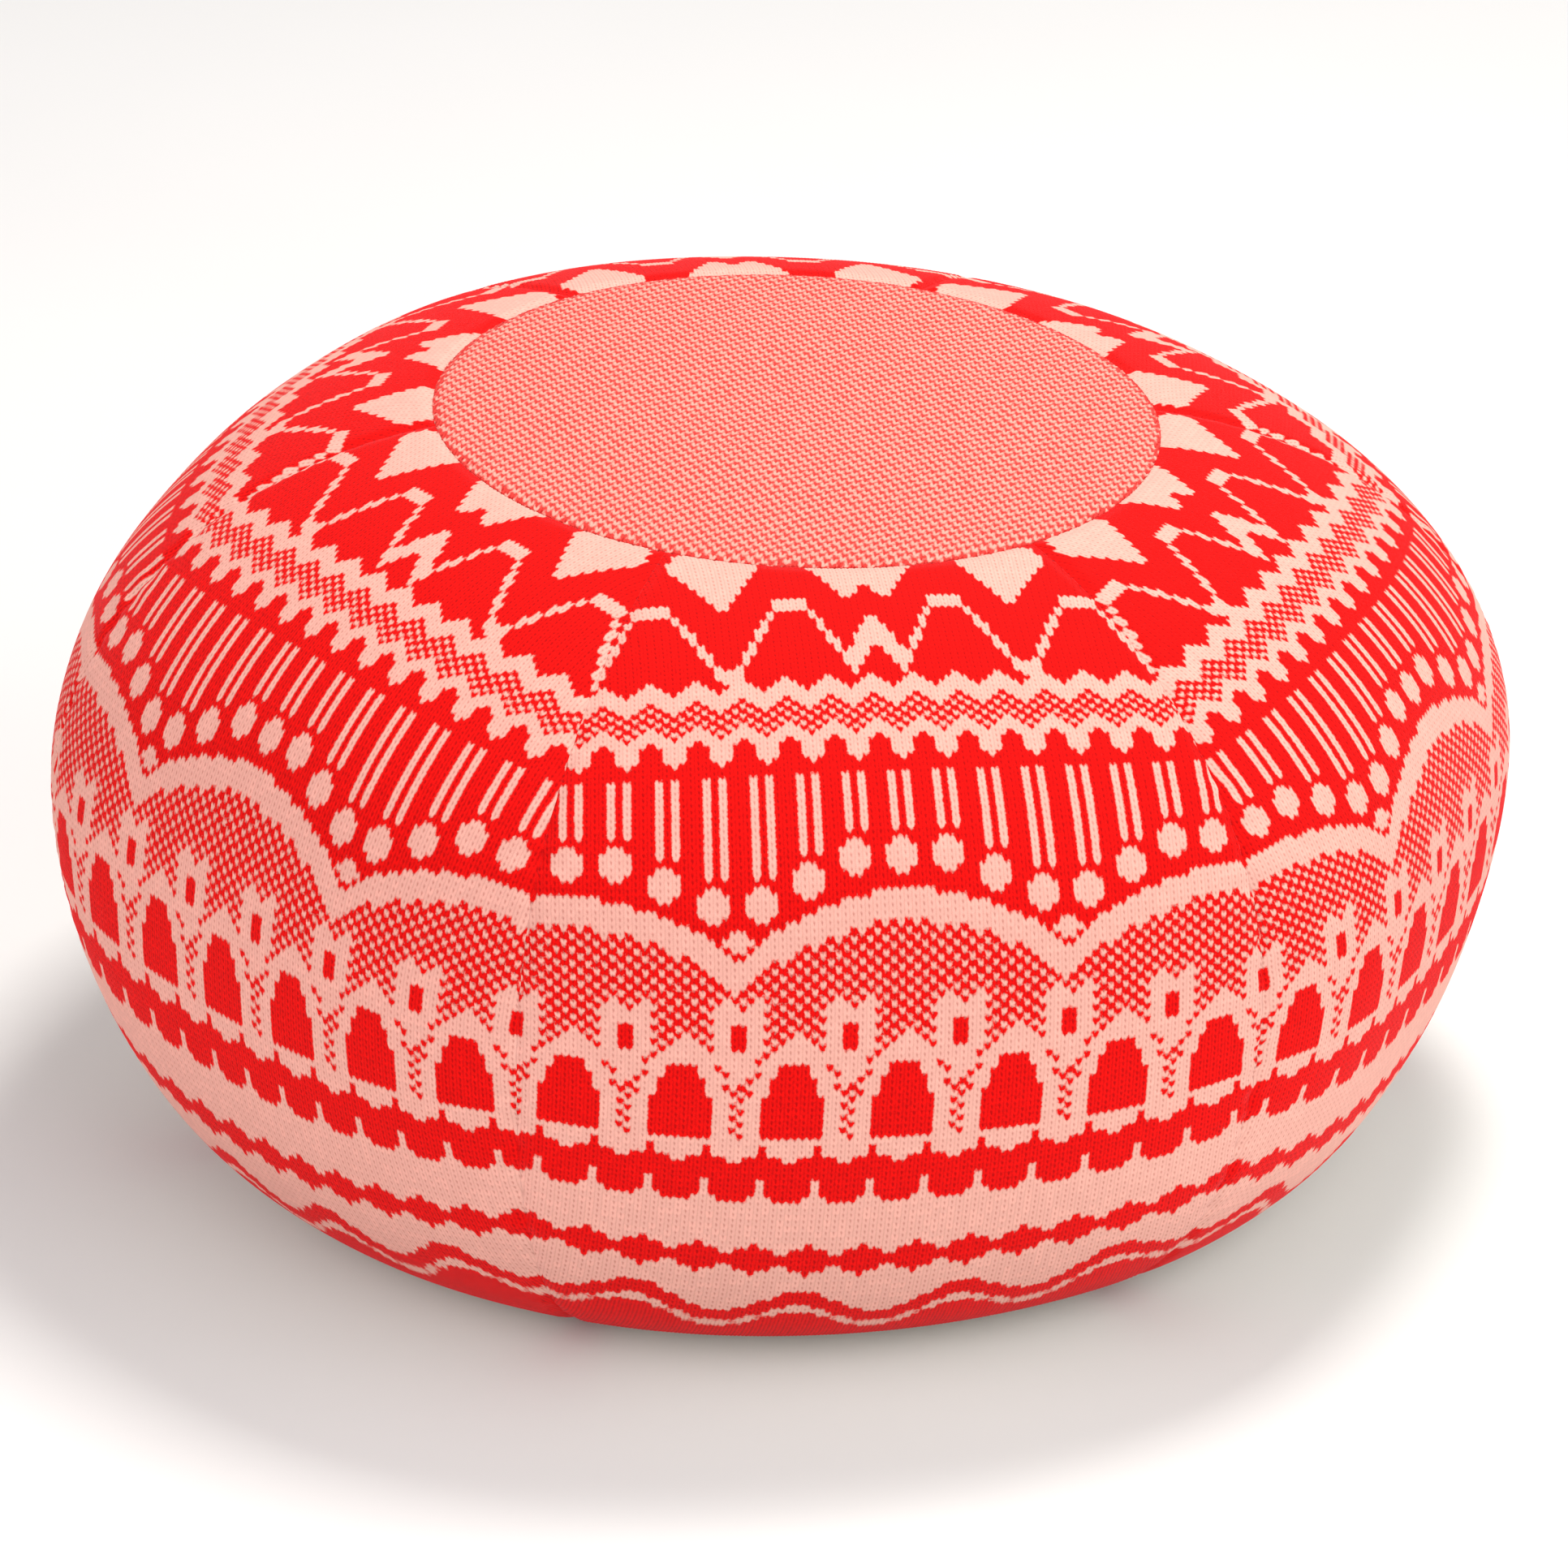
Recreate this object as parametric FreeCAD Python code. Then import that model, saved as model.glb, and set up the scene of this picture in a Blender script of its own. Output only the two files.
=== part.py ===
"""Knitted floor cushion: six gores and two round panels over a filled lining bag, zipped at the base.

Units are millimetres. +Z is up, the cushion stands on Z = 0 and its round body is centred on the Z axis.
One gore is centred on -Y, which is the front. The zip runs round the back of the underside.
"Depth" always means how far a layer lies inside the outer skin of the cover.
"""
import FreeCAD, Part
import math
import os

V = FreeCAD.Vector
UP = V(0, 0, 1)
AXIS_POINT = V(0, 0, 0)
os.makedirs("parts", exist_ok=True)

# ---- driving dimensions of the outer skin ----
WAIST_RADIUS = 318.0        # widest point of the body
WAIST_HEIGHT = 176.0        # height of the widest point
SHOULDER_CENTRE = 124.0     # radius about which the shoulder's elliptical arc turns
SHOULDER_RISE = 166.0       # the shoulder arc rises this far above the waist
FOOT_CENTRE = 205.0         # radius where the side has curved in and lies on the floor
RIM_RADIUS = 160.0          # sewn edge of the round top panel
CROWN_HEIGHT = 345.0        # middle of the top panel
GORE_COUNT = 6

# ---- the shallow groove under the cushion that the base seam and the zip lie in ----
ZIP_RADIUS = 168.0          # circle that the zip's chain follows
LIP_HALF_GAP = 10.0         # from that circle to the edge of the gores, and of the base panel
GROOVE_HEIGHT = 7.0         # the two edges are drawn up this far off the floor
GROOVE_RUN = 12.0           # the cloth rises to the edge over this radial distance

# ---- cloth layers ----
KNIT = 3.0                  # thickness of the felted double-bed knit
SEAM_TOP = 3.2              # depth of the flattened seam allowances
SEAM_BOTTOM = 5.8
SEAM_WIDTH = 18.0           # both allowances of a gore seam, opened flat
LINING_DEPTH = 8.0
LINING = 0.8
FILL_DEPTH = 9.2
LINING_LIP = 18.0           # lining stays this far from the zip circle, clear of the slider
LINING_GROOVE = 14.5        # height of the lining over the zip
LINING_RIM = 142.0          # sewn edge of the lining's round top

# ---- zip ----
ZIP_ARC = 150.0             # degrees of the base ring that open, centred on the back
ZIP_BACK = 90.0             # azimuth of the back
TAPE = 0.8
CHAIN_INNER_EDGE = 0.6      # each row of the chain stands this far from the zip circle
CHAIN_WIDTH = 1.2
CHAIN_HEIGHT = 1.4
SLIDER_LENGTH = 12.0
SLIDER_HALF_WIDTH = 4.4
SLIDER_AZIMUTH = 162.0      # where the slider stands when the zip is closed


def at(radius, height):
    """Point in the half-plane of the profile."""
    return V(radius, 0, height)


def line(start, end):
    return Part.LineSegment(start, end).toShape()


def shoulder_height(radius, depth):
    """Height of the shoulder's skin over a radius."""
    reach = WAIST_RADIUS - SHOULDER_CENTRE - depth
    rise = SHOULDER_RISE - depth
    return WAIST_HEIGHT + rise * math.sqrt(1 - ((radius - SHOULDER_CENTRE) / reach) ** 2)


def shoulder_arc(from_radius, depth):
    """Skin from a radius on the shoulder down to the waist."""
    centre = at(SHOULDER_CENTRE, WAIST_HEIGHT)
    reach = WAIST_RADIUS - SHOULDER_CENTRE - depth
    rise = SHOULDER_RISE - depth
    ellipse = Part.Ellipse(centre + V(reach, 0, 0), centre + V(0, 0, rise), centre)
    return Part.ArcOfEllipse(ellipse, 0, math.acos((from_radius - SHOULDER_CENTRE) / reach)).toShape()


def foot_arc(depth):
    """Skin from the waist down to where the cushion lies on the floor."""
    centre = at(FOOT_CENTRE, WAIST_HEIGHT)
    drop = WAIST_HEIGHT - depth
    reach = WAIST_RADIUS - FOOT_CENTRE - depth
    ellipse = Part.Ellipse(centre - V(0, 0, drop), centre + V(reach, 0, 0), centre)
    return Part.ArcOfEllipse(ellipse, 0, math.pi / 2).toShape()


def side_skin(depth, from_radius, lip_gap, lip_height):
    """Skin of the side, from the shoulder to the outer edge of the groove underneath."""
    lip_radius = ZIP_RADIUS + lip_gap
    turn_radius = lip_radius + GROOVE_RUN
    corners = [at(FOOT_CENTRE, depth), at(turn_radius, depth), at(lip_radius, lip_height)]
    edges = [shoulder_arc(from_radius, depth), foot_arc(depth)]
    edges += [line(corners[0], corners[1]), line(corners[1], corners[2])]
    return edges, at(from_radius, shoulder_height(from_radius, depth)), corners[2]


def closed_face(edges):
    return Part.Face(Part.Wire(Part.__sortEdges__(edges)))


def turned(face, start=0.0, sweep=360.0):
    """Turn a profile face about the cushion's axis, from one azimuth through an angle."""
    solid = face.revolve(AXIS_POINT, UP, sweep)
    return solid.rotate(AXIS_POINT, UP, start)


def side_shell(depth_out, depth_in, from_radius, start, sweep):
    """One piece of cloth of the side, between two depths."""
    lip_out = GROOVE_HEIGHT + depth_out
    lip_in = GROOVE_HEIGHT + depth_in
    outer, outer_top, outer_lip = side_skin(depth_out, from_radius, LIP_HALF_GAP, lip_out)
    inner, inner_top, inner_lip = side_skin(depth_in, from_radius, LIP_HALF_GAP, lip_in)
    face = closed_face(outer + inner + [line(outer_top, inner_top), line(outer_lip, inner_lip)])
    return turned(face, start, sweep)


def dome(radius, middle_height, edge_height, thickness):
    """A round panel, slightly crowned and equally thick all over."""
    sag = middle_height - edge_height
    sphere_radius = (radius ** 2 + sag ** 2) / (2 * sag)
    half_angle = math.asin(radius / sphere_radius)
    midway = at(sphere_radius * math.sin(half_angle / 2),
                middle_height - sphere_radius * (1 - math.cos(half_angle / 2)))
    upper = Part.Arc(at(0, middle_height), midway, at(radius, edge_height)).toShape()
    drop = V(0, 0, -thickness)
    lower = Part.Arc(at(0, middle_height) + drop, midway + drop, at(radius, edge_height) + drop).toShape()
    sides = [line(at(radius, edge_height), at(radius, edge_height) + drop),
             line(at(0, middle_height) + drop, at(0, middle_height))]
    return turned(closed_face([upper, lower] + sides))


def polygon_ring(points, start=0.0, sweep=360.0):
    """Turn a polygon of (radius, height) points about the cushion's axis."""
    corners = [at(radius, height) for radius, height in points]
    return turned(Part.Face(Part.makePolygon(corners + corners[:1])), start, sweep)


def band(radius_in, radius_out, low, high, start=0.0, sweep=360.0):
    """A ring, or part of one, with a rectangular section."""
    return polygon_ring([(radius_in, low), (radius_out, low), (radius_out, high), (radius_in, high)],
                        start, sweep)


def degrees_along(length, radius=ZIP_RADIUS):
    return math.degrees(length / radius)


# ---- cover ----

def gore_azimuth(index):
    return index * 360.0 / GORE_COUNT - 90.0


def gore_panel(index):
    sweep = 360.0 / GORE_COUNT
    return side_shell(0.0, KNIT, RIM_RADIUS, gore_azimuth(index) - sweep / 2, sweep)


def gore_seam(index):
    """The two seam allowances between a gore and the next one, pressed open inside the cover."""
    sweep = degrees_along(SEAM_WIDTH, WAIST_RADIUS)
    middle = gore_azimuth(index) + 180.0 / GORE_COUNT
    ring_clearance = 8.0
    return side_shell(SEAM_TOP, SEAM_BOTTOM, RIM_RADIUS + ring_clearance, middle - sweep / 2, sweep)


def top_panel():
    return dome(RIM_RADIUS, CROWN_HEIGHT, shoulder_height(RIM_RADIUS, 0.0), KNIT)


def top_ring_seam():
    """Overlocked allowance of the round seam, lying under both edges."""
    half_width = 5.0
    thickness = 2.0
    clearance = 0.3
    outer_radius = RIM_RADIUS + half_width
    top = shoulder_height(outer_radius, KNIT) - clearance
    return band(RIM_RADIUS - half_width, outer_radius, top - thickness, top)


def base_panel():
    edge = ZIP_RADIUS - LIP_HALF_GAP
    turn = edge - GROOVE_RUN
    points = [(0, 0), (turn, 0), (edge, GROOVE_HEIGHT), (edge, GROOVE_HEIGHT + KNIT), (turn, KNIT), (0, KNIT)]
    return polygon_ring(points)


def zip_start():
    return ZIP_BACK - ZIP_ARC / 2


def base_ring_seam():
    """The part of the base ring that is sewn shut, as one flat overlocked band."""
    return band(ZIP_RADIUS - LIP_HALF_GAP, ZIP_RADIUS + LIP_HALF_GAP, GROOVE_HEIGHT, GROOVE_HEIGHT + KNIT,
                zip_start() + ZIP_ARC, 360.0 - ZIP_ARC)


def care_label():
    """Small blank tape folded flat on the inside of the base panel, its end under the zip tape."""
    length = 45.0
    width = 25.0
    thickness = 0.8
    gap = 0.2
    label = Part.makeBox(length, width, thickness)
    label.translate(V(ZIP_RADIUS - LIP_HALF_GAP - GROOVE_RUN - length - 2.0, -width / 2, KNIT + gap))
    return label.rotate(AXIS_POINT, UP, ZIP_BACK)


# ---- zip ----

def zip_tape(side):
    """One woven tape, from the cloth's edge to the chain. side is -1 inside the ring, +1 outside."""
    edge = ZIP_RADIUS + side * LIP_HALF_GAP
    free = ZIP_RADIUS + side * CHAIN_INNER_EDGE
    return band(min(edge, free), max(edge, free), GROOVE_HEIGHT, GROOVE_HEIGHT + TAPE, zip_start(), ZIP_ARC)


def chain_radii(side):
    near = ZIP_RADIUS + side * CHAIN_INNER_EDGE
    far = near + side * CHAIN_WIDTH
    return min(near, far), max(near, far)


STOP_ARC = degrees_along(2.0)


def zip_chain(side):
    """One row of the nylon coil, as the band that it fills under its tape."""
    inner, outer = chain_radii(side)
    return band(inner, outer, GROOVE_HEIGHT - CHAIN_HEIGHT, GROOVE_HEIGHT,
                zip_start() + STOP_ARC, ZIP_ARC - 2 * STOP_ARC)


def zip_top_stops():
    """Two clips that end the rows on the closed side."""
    clips = []
    for side in (-1, 1):
        inner, outer = chain_radii(side)
        clips.append(band(inner, outer, GROOVE_HEIGHT - CHAIN_HEIGHT, GROOVE_HEIGHT,
                          zip_start() + ZIP_ARC - STOP_ARC, STOP_ARC))
    return Part.makeCompound(clips)


def zip_bottom_stop():
    """The one clip across both rows at the end that never opens."""
    inner = chain_radii(-1)[0]
    outer = chain_radii(1)[1]
    return band(inner, outer, GROOVE_HEIGHT - CHAIN_HEIGHT, GROOVE_HEIGHT, zip_start(), STOP_ARC)


# heights of the slider's plates, with running room round tape and chain
RUN_CLEARANCE = 0.5
PLATE = 1.2
OUTER_PLATE_TOP = GROOVE_HEIGHT - CHAIN_HEIGHT - RUN_CLEARANCE
OUTER_PLATE_LOW = OUTER_PLATE_TOP - PLATE
INNER_PLATE_LOW = GROOVE_HEIGHT + TAPE + RUN_CLEARANCE
INNER_PLATE_TOP = INNER_PLATE_LOW + PLATE
PIN_HEIGHT = OUTER_PLATE_LOW - 1.9
PIN_RADIUS = 0.6
LUG_GAP = 1.8               # half of the room between the two lugs
LUG = 1.2
PULL_EYE_RADIUS = 0.75
PULL_HALF_THICKNESS = 0.65
PULL_NECK = 1.5             # half width of the pull where it passes between the lugs
PULL_HALF_WIDTH = 3.5
PULL_NECK_LENGTH = 6.0
PULL_LENGTH = 24.0


def zip_slider_body():
    """Two curved plates joined by a thin divider, with flanges for the tapes and lugs for the pull."""
    sweep = degrees_along(SLIDER_LENGTH)
    start = SLIDER_AZIMUTH - sweep / 2
    inner = ZIP_RADIUS - SLIDER_HALF_WIDTH
    outer = ZIP_RADIUS + SLIDER_HALF_WIDTH
    flange = 1.8
    flange_top = GROOVE_HEIGHT - 0.4
    divider = 0.35
    divider_sweep = degrees_along(3.0)
    pieces = [band(inner, outer, OUTER_PLATE_LOW, OUTER_PLATE_TOP, start, sweep),
              band(inner, outer, INNER_PLATE_LOW, INNER_PLATE_TOP, start, sweep),
              band(inner, inner + flange, OUTER_PLATE_TOP, flange_top, start, sweep),
              band(outer - flange, outer, OUTER_PLATE_TOP, flange_top, start, sweep),
              band(ZIP_RADIUS - divider, ZIP_RADIUS + divider, OUTER_PLATE_TOP, INNER_PLATE_LOW,
                   start, divider_sweep)]
    lug_length = 2.6
    lug_drop = 1.0
    for side in (-1, 1):
        lug = Part.makeBox(LUG, lug_length, OUTER_PLATE_LOW - PIN_HEIGHT + lug_drop)
        lug.translate(V(ZIP_RADIUS + side * (LUG_GAP + LUG / 2) - LUG / 2, -lug_length / 2, PIN_HEIGHT - lug_drop))
        pieces.append(lug.rotate(AXIS_POINT, UP, SLIDER_AZIMUTH))
    pin_length = 2 * LUG_GAP + LUG
    pin = Part.makeCylinder(PIN_RADIUS, pin_length, V(ZIP_RADIUS - pin_length / 2, 0, PIN_HEIGHT), V(1, 0, 0))
    pieces.append(pin.rotate(AXIS_POINT, UP, SLIDER_AZIMUTH))
    return pieces[0].multiFuse(pieces[1:]).removeSplitter()


def zip_pull_tab():
    """Flat tab with an eye round the slider's pin, lying back along the closed chain."""
    def block(half_width, start, end):
        piece = Part.makeBox(2 * half_width, end - start, 2 * PULL_HALF_THICKNESS)
        return piece.translate(V(ZIP_RADIUS - half_width, -end, PIN_HEIGHT - PULL_HALF_THICKNESS))

    eye_wall = 0.55
    eye = Part.makeCylinder(PULL_EYE_RADIUS + eye_wall, 2 * PULL_NECK,
                            V(ZIP_RADIUS - PULL_NECK, 0, PIN_HEIGHT), V(1, 0, 0))
    tab = eye.fuse(block(PULL_NECK, 0.0, PULL_NECK_LENGTH))
    tab = tab.fuse(block(PULL_HALF_WIDTH, PULL_NECK_LENGTH - 0.5, PULL_LENGTH))
    hole = Part.makeCylinder(PULL_EYE_RADIUS, 2 * PULL_HALF_WIDTH,
                             V(ZIP_RADIUS - PULL_HALF_WIDTH, 0, PIN_HEIGHT), V(1, 0, 0))
    grip_hole = Part.makeCylinder(1.6, 4.0, V(ZIP_RADIUS, 3.2 - PULL_LENGTH, PIN_HEIGHT - 2.0), UP)
    return tab.cut(hole).cut(grip_hole).removeSplitter().rotate(AXIS_POINT, UP, SLIDER_AZIMUTH)


# ---- lining bag and filling ----

def lining_top():
    return dome(LINING_RIM, CROWN_HEIGHT - LINING_DEPTH - 1.5, shoulder_height(LINING_RIM, LINING_DEPTH), LINING)


def lining_side():
    outer, outer_top, outer_lip = side_skin(LINING_DEPTH, LINING_RIM, LINING_LIP, LINING_GROOVE)
    inner, inner_top, inner_lip = side_skin(LINING_DEPTH + LINING, LINING_RIM, LINING_LIP,
                                            LINING_GROOVE + LINING)
    face = closed_face(outer + inner + [line(outer_top, inner_top), line(outer_lip, inner_lip)])
    return turned(face)


def underside_outline(depth, groove_top):
    """(radius, height) points of the bag's underside from its middle to the outer edge of its groove."""
    edge = ZIP_RADIUS - LINING_LIP
    return [(0, depth), (edge - GROOVE_RUN, depth), (edge, groove_top), (ZIP_RADIUS + LINING_LIP, groove_top)]


def lining_bottom():
    low = underside_outline(LINING_DEPTH, LINING_GROOVE)
    high = underside_outline(LINING_DEPTH + LINING, LINING_GROOVE + LINING)
    return polygon_ring(low + high[::-1])


def lining_closing_stitch():
    """Hand-sewn end of the lining's lower seam, a short run of thread loops drawn as one bead."""
    inset = 3.0
    thread = 1.1
    gap = 0.1
    inner = ZIP_RADIUS + LINING_LIP - inset
    return band(inner, inner + 2 * thread, LINING_GROOVE - gap - thread, LINING_GROOVE - gap, 20.0, 40.0)


def filling():
    """Everything inside the lining, as one solid."""
    groove_top = LINING_GROOVE + FILL_DEPTH - LINING_DEPTH
    side, top, lip = side_skin(FILL_DEPTH, LINING_RIM, LINING_LIP, groove_top)
    under = [at(radius, height) for radius, height in underside_outline(FILL_DEPTH, groove_top)]
    edges = list(side)
    edges += [line(first, second) for first, second in zip(under, under[1:])]
    edges += [line(top, at(0, top.z)), line(at(0, top.z), under[0])]
    return turned(closed_face(edges))


def build():
    nodes = {"top_panel": top_panel(), "top_ring_seam": top_ring_seam(), "base_panel": base_panel(),
             "base_ring_seam": base_ring_seam(), "care_label": care_label()}
    for index in range(GORE_COUNT):
        nodes["gore_panel_%d" % (index + 1)] = gore_panel(index)
        nodes["gore_seam_%d" % (index + 1)] = gore_seam(index)
    nodes["zip_tape_inner"] = zip_tape(-1)
    nodes["zip_tape_outer"] = zip_tape(1)
    nodes["zip_chain_inner"] = zip_chain(-1)
    nodes["zip_chain_outer"] = zip_chain(1)
    nodes["zip_top_stops"] = zip_top_stops()
    nodes["zip_bottom_stop"] = zip_bottom_stop()
    nodes["zip_slider_body"] = zip_slider_body()
    nodes["zip_pull_tab"] = zip_pull_tab()
    nodes["lining_top"] = lining_top()
    nodes["lining_side"] = lining_side()
    nodes["lining_bottom"] = lining_bottom()
    nodes["lining_closing_stitch"] = lining_closing_stitch()
    nodes["filling"] = filling()
    return nodes


for name, shape in build().items():
    shape.exportStep("parts/%s.step" % name)
    box = shape.BoundBox
    print("%-24s valid %s volume %10.0f  z %.1f to %.1f" % (name, shape.isValid(), shape.Volume,
                                                            box.ZMin, box.ZMax))
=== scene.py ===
# %% [markdown]
# # A round knitted floor cushion
#
# The cushion is a stuffed ball pressed flat by its own weight. Its cover is knitted in two colours of
# wool on a machine: six tall panels, called gores, go round the side, a plain round panel closes the top
# and another one closes the base. A zip hides in the base seam, and a cotton bag holds the filling.
#
# The engineering model already holds every piece at its true size. It is loaded here as a fixed frame
# that nothing in this notebook may move. Everything made below is a finer skin over one of its pieces.

# %% Load the fixed frame
import math

import bpy
import numpy as np
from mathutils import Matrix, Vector


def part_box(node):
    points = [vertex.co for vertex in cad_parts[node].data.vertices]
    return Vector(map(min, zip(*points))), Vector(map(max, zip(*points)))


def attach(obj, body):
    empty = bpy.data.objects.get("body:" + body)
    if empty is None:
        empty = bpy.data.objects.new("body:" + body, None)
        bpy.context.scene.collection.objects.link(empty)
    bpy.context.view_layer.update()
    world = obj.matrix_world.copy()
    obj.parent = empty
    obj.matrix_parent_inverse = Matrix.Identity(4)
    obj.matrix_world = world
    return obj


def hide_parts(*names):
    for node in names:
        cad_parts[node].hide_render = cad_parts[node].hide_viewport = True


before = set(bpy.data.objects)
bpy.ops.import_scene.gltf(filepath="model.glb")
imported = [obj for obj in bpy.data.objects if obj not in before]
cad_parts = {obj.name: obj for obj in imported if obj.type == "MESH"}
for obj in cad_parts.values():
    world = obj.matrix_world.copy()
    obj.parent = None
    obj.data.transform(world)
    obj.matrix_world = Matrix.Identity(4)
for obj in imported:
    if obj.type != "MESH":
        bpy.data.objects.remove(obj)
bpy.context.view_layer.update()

# %% [markdown]
# ## The camera
#
# A long lens from far away keeps the ellipse of the top panel and the undercut of the side in their
# true proportions. The camera looks down by about 25 degrees and stands a little to the left of the
# front gore's middle, so that the two seams of that gore are not mirror images of each other.

# %% Camera
CAMERA_DISTANCE = 6.0
CAMERA_LOOKS_DOWN = math.radians(25.2)
CAMERA_TURN = math.radians(9.3)
CAMERA_LENS = 309.5
AIM_HEIGHT = 0.160
AIM_SHIFT = 0.0055


def into_scene(name, data):
    """New object in the scene."""
    item = bpy.data.objects.new(name, data)
    bpy.context.scene.collection.objects.link(item)
    return item


camera_data = bpy.data.cameras.new("long_lens")
camera_data.lens = CAMERA_LENS
camera_data.sensor_width = 36.0
camera_data.clip_end = 60.0
camera = into_scene("camera", camera_data)
to_right = Vector((math.cos(CAMERA_TURN), -math.sin(CAMERA_TURN), 0))
to_camera = Vector((-math.cos(CAMERA_LOOKS_DOWN) * math.sin(CAMERA_TURN),
                    -math.cos(CAMERA_LOOKS_DOWN) * math.cos(CAMERA_TURN),
                    math.sin(CAMERA_LOOKS_DOWN)))
aim = Vector((0, 0, AIM_HEIGHT)) + to_right * AIM_SHIFT
camera.location = aim + to_camera * CAMERA_DISTANCE
camera.rotation_euler = to_camera.to_track_quat("Z", "Y").to_euler()
bpy.context.scene.camera = camera
print("camera stands at", [round(value, 3) for value in camera.location])

# %% [markdown]
# ## The shape of the cover
#
# Seen from the side, half of the cushion is two quarter ellipses that meet at the waist, a flat foot
# on the floor, and a short rise to the sewn lip under the base. One function draws that line for
# any layer of the cushion: the cover, and the lining bag a few millimetres inside it.
# The waist and the rim of the top panel are read from the frame, so the skin always fits it.

# %% Outline of the round side
WAIST_RADIUS = round(max(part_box("gore_panel_%d" % number)[1].x for number in range(1, 7)), 3)
CROWN_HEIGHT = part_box("top_panel")[1].z
RIM_RADIUS = round(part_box("top_panel")[1].x, 3)
WAIST_HEIGHT = 0.176
SHOULDER_CENTRE = 0.124
SHOULDER_RISE = 0.166
FOOT_CENTRE = 0.205
GROOVE_HEIGHT = 0.007
GROOVE_RUN = 0.012
ZIP_RADIUS = 0.168
GORE_LIP = ZIP_RADIUS + 0.010
BASE_LIP = ZIP_RADIUS - 0.010
OUTLINE_STEPS = 240


def side_outline(depth, top_radius, lip_radius, lip_height, steps=OUTLINE_STEPS):
    """Radius and height of the round side, depth inside the cover's face, from the top to the lip."""
    reach = WAIST_RADIUS - depth - SHOULDER_CENTRE
    over = np.linspace(math.acos((top_radius - SHOULDER_CENTRE) / reach), 0, steps)
    under = np.linspace(0, math.pi / 2, steps)[1:]
    radius = np.concatenate([SHOULDER_CENTRE + reach * np.cos(over),
                             FOOT_CENTRE + (WAIST_RADIUS - depth - FOOT_CENTRE) * np.cos(under),
                             [lip_radius + GROOVE_RUN, lip_radius]])
    height = np.concatenate([WAIST_HEIGHT + (SHOULDER_RISE - depth) * np.sin(over),
                             WAIST_HEIGHT - (WAIST_HEIGHT - depth) * np.sin(under),
                             [depth, lip_height]])
    return radius, height


INNER_REACH = 0.110
radius, height = side_outline(0.0, SHOULDER_CENTRE, GORE_LIP, GROOVE_HEIGHT)
profile_radius = np.append(radius, INNER_REACH)
profile_height = np.append(height, GROOVE_HEIGHT)
steps = np.hypot(np.diff(profile_radius), np.diff(profile_height))
profile_arc = np.concatenate([[0.0], np.cumsum(steps)])
RIM_ARC = np.interp(RIM_RADIUS, profile_radius[:OUTLINE_STEPS], profile_arc[:OUTLINE_STEPS])
profile_arc -= RIM_ARC
LIP_ARC = profile_arc[-2]
profile_steepness = (profile_height - WAIST_HEIGHT) / profile_radius
slope_out = np.gradient(profile_radius, profile_arc)
slope_up = np.gradient(profile_height, profile_arc)
print("the side measures %.0f mm from rim to lip" % (LIP_ARC * 1000))

# %% [markdown]
# ## How the knitting lies on the side
#
# Knitting is counted in wales, the columns of stitches, and courses, the rows. A gore is shaped while it
# is knitted: it is 59 wales wide at the rim of the top panel and 98 at the waist. A course is a straight
# row, so on the finished cushion it lies in a plane, and it makes a slight corner where it meets the
# next gore. That is why the rings of the pattern look like soft hexagons from above.
#
# Each course is therefore drawn as a plane that tips about the centre of the ball. Its steepness on the
# middle of the gore, times the cosine of the angle away from the middle, gives its place on the outline.
# The rows stand closer together on the shoulder, and the weight of the filling spreads them at the foot.

# %% Courses and wales
HALF_GORE = math.pi / 6
FIRST_COURSE = -8
LAST_COURSE = 186
COURSE_PITCH = [0.00255, 0.0032, 0.0031, 0.0038]
COURSE_PITCH_AT = [40, 55, 105, 120]
WALE_AT_WAIST = 0.0034
WALE_TIGHTENING = 0.10
WALE_GROWS_OVER = 70


def smooth(value):
    """0 below 0, 1 above 1, and an even S between them."""
    value = np.clip(value, 0, 1)
    return value * value * (3 - 2 * value)


course_table = np.arange(FIRST_COURSE - 2, LAST_COURSE + 2, 0.25)
course_pitch = np.interp(course_table, COURSE_PITCH_AT, COURSE_PITCH)
course_arc = np.concatenate([[0.0], np.cumsum(course_pitch[:-1] * np.diff(course_table))])
course_arc -= np.interp(0, course_table, course_arc)
course_steepness = np.interp(course_arc, profile_arc, profile_steepness)


def arc_of(course, turn):
    """Place along the outline of a course, at an angle away from the middle of the gore."""
    steepness = np.interp(course, course_table, course_steepness) * np.cos(turn)
    return np.interp(-steepness, -profile_steepness, profile_arc)


def measure_courses():
    """Half the width of each course, in wales."""
    turns = np.linspace(0, HALF_GORE, 25)[None, :]
    arcs = arc_of(course_table[:, None], turns)
    radii = np.interp(arcs, profile_arc, profile_radius)
    across = np.stack([radii * np.sin(turns), radii * np.cos(turns),
                       np.interp(arcs, profile_arc, profile_height)], axis=-1)
    length = np.linalg.norm(np.diff(across, axis=1), axis=-1).sum(axis=1)
    wale = WALE_AT_WAIST * (1 - WALE_TIGHTENING * (1 - smooth(course_table / WALE_GROWS_OVER)))
    return length / wale


half_width = measure_courses()
print("the last course lies %.0f mm past the lip" % (1000 * (arc_of(LAST_COURSE, HALF_GORE) - LIP_ARC)))
print("a gore is %.0f wales wide at the rim and %.0f at its widest"
      % (2 * np.interp(0, course_table, half_width), 2 * half_width.max()))

# %% [markdown]
# ## The pattern chart
#
# A knitter works from a chart: one square for each stitch, filled in for one yarn and left open for the
# other. The chart here is written as rules instead of squares. Every motif repeats across the gore, so
# each rule folds the stitch's place into one repeat and compares it with a line or a curve.
# From the rim down: triangles, a fine zigzag, a checked ribbon between two small zigzags, pairs of fine
# lines that end in dots, scallops, a row of towers and arches, and three scalloped bands.

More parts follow.
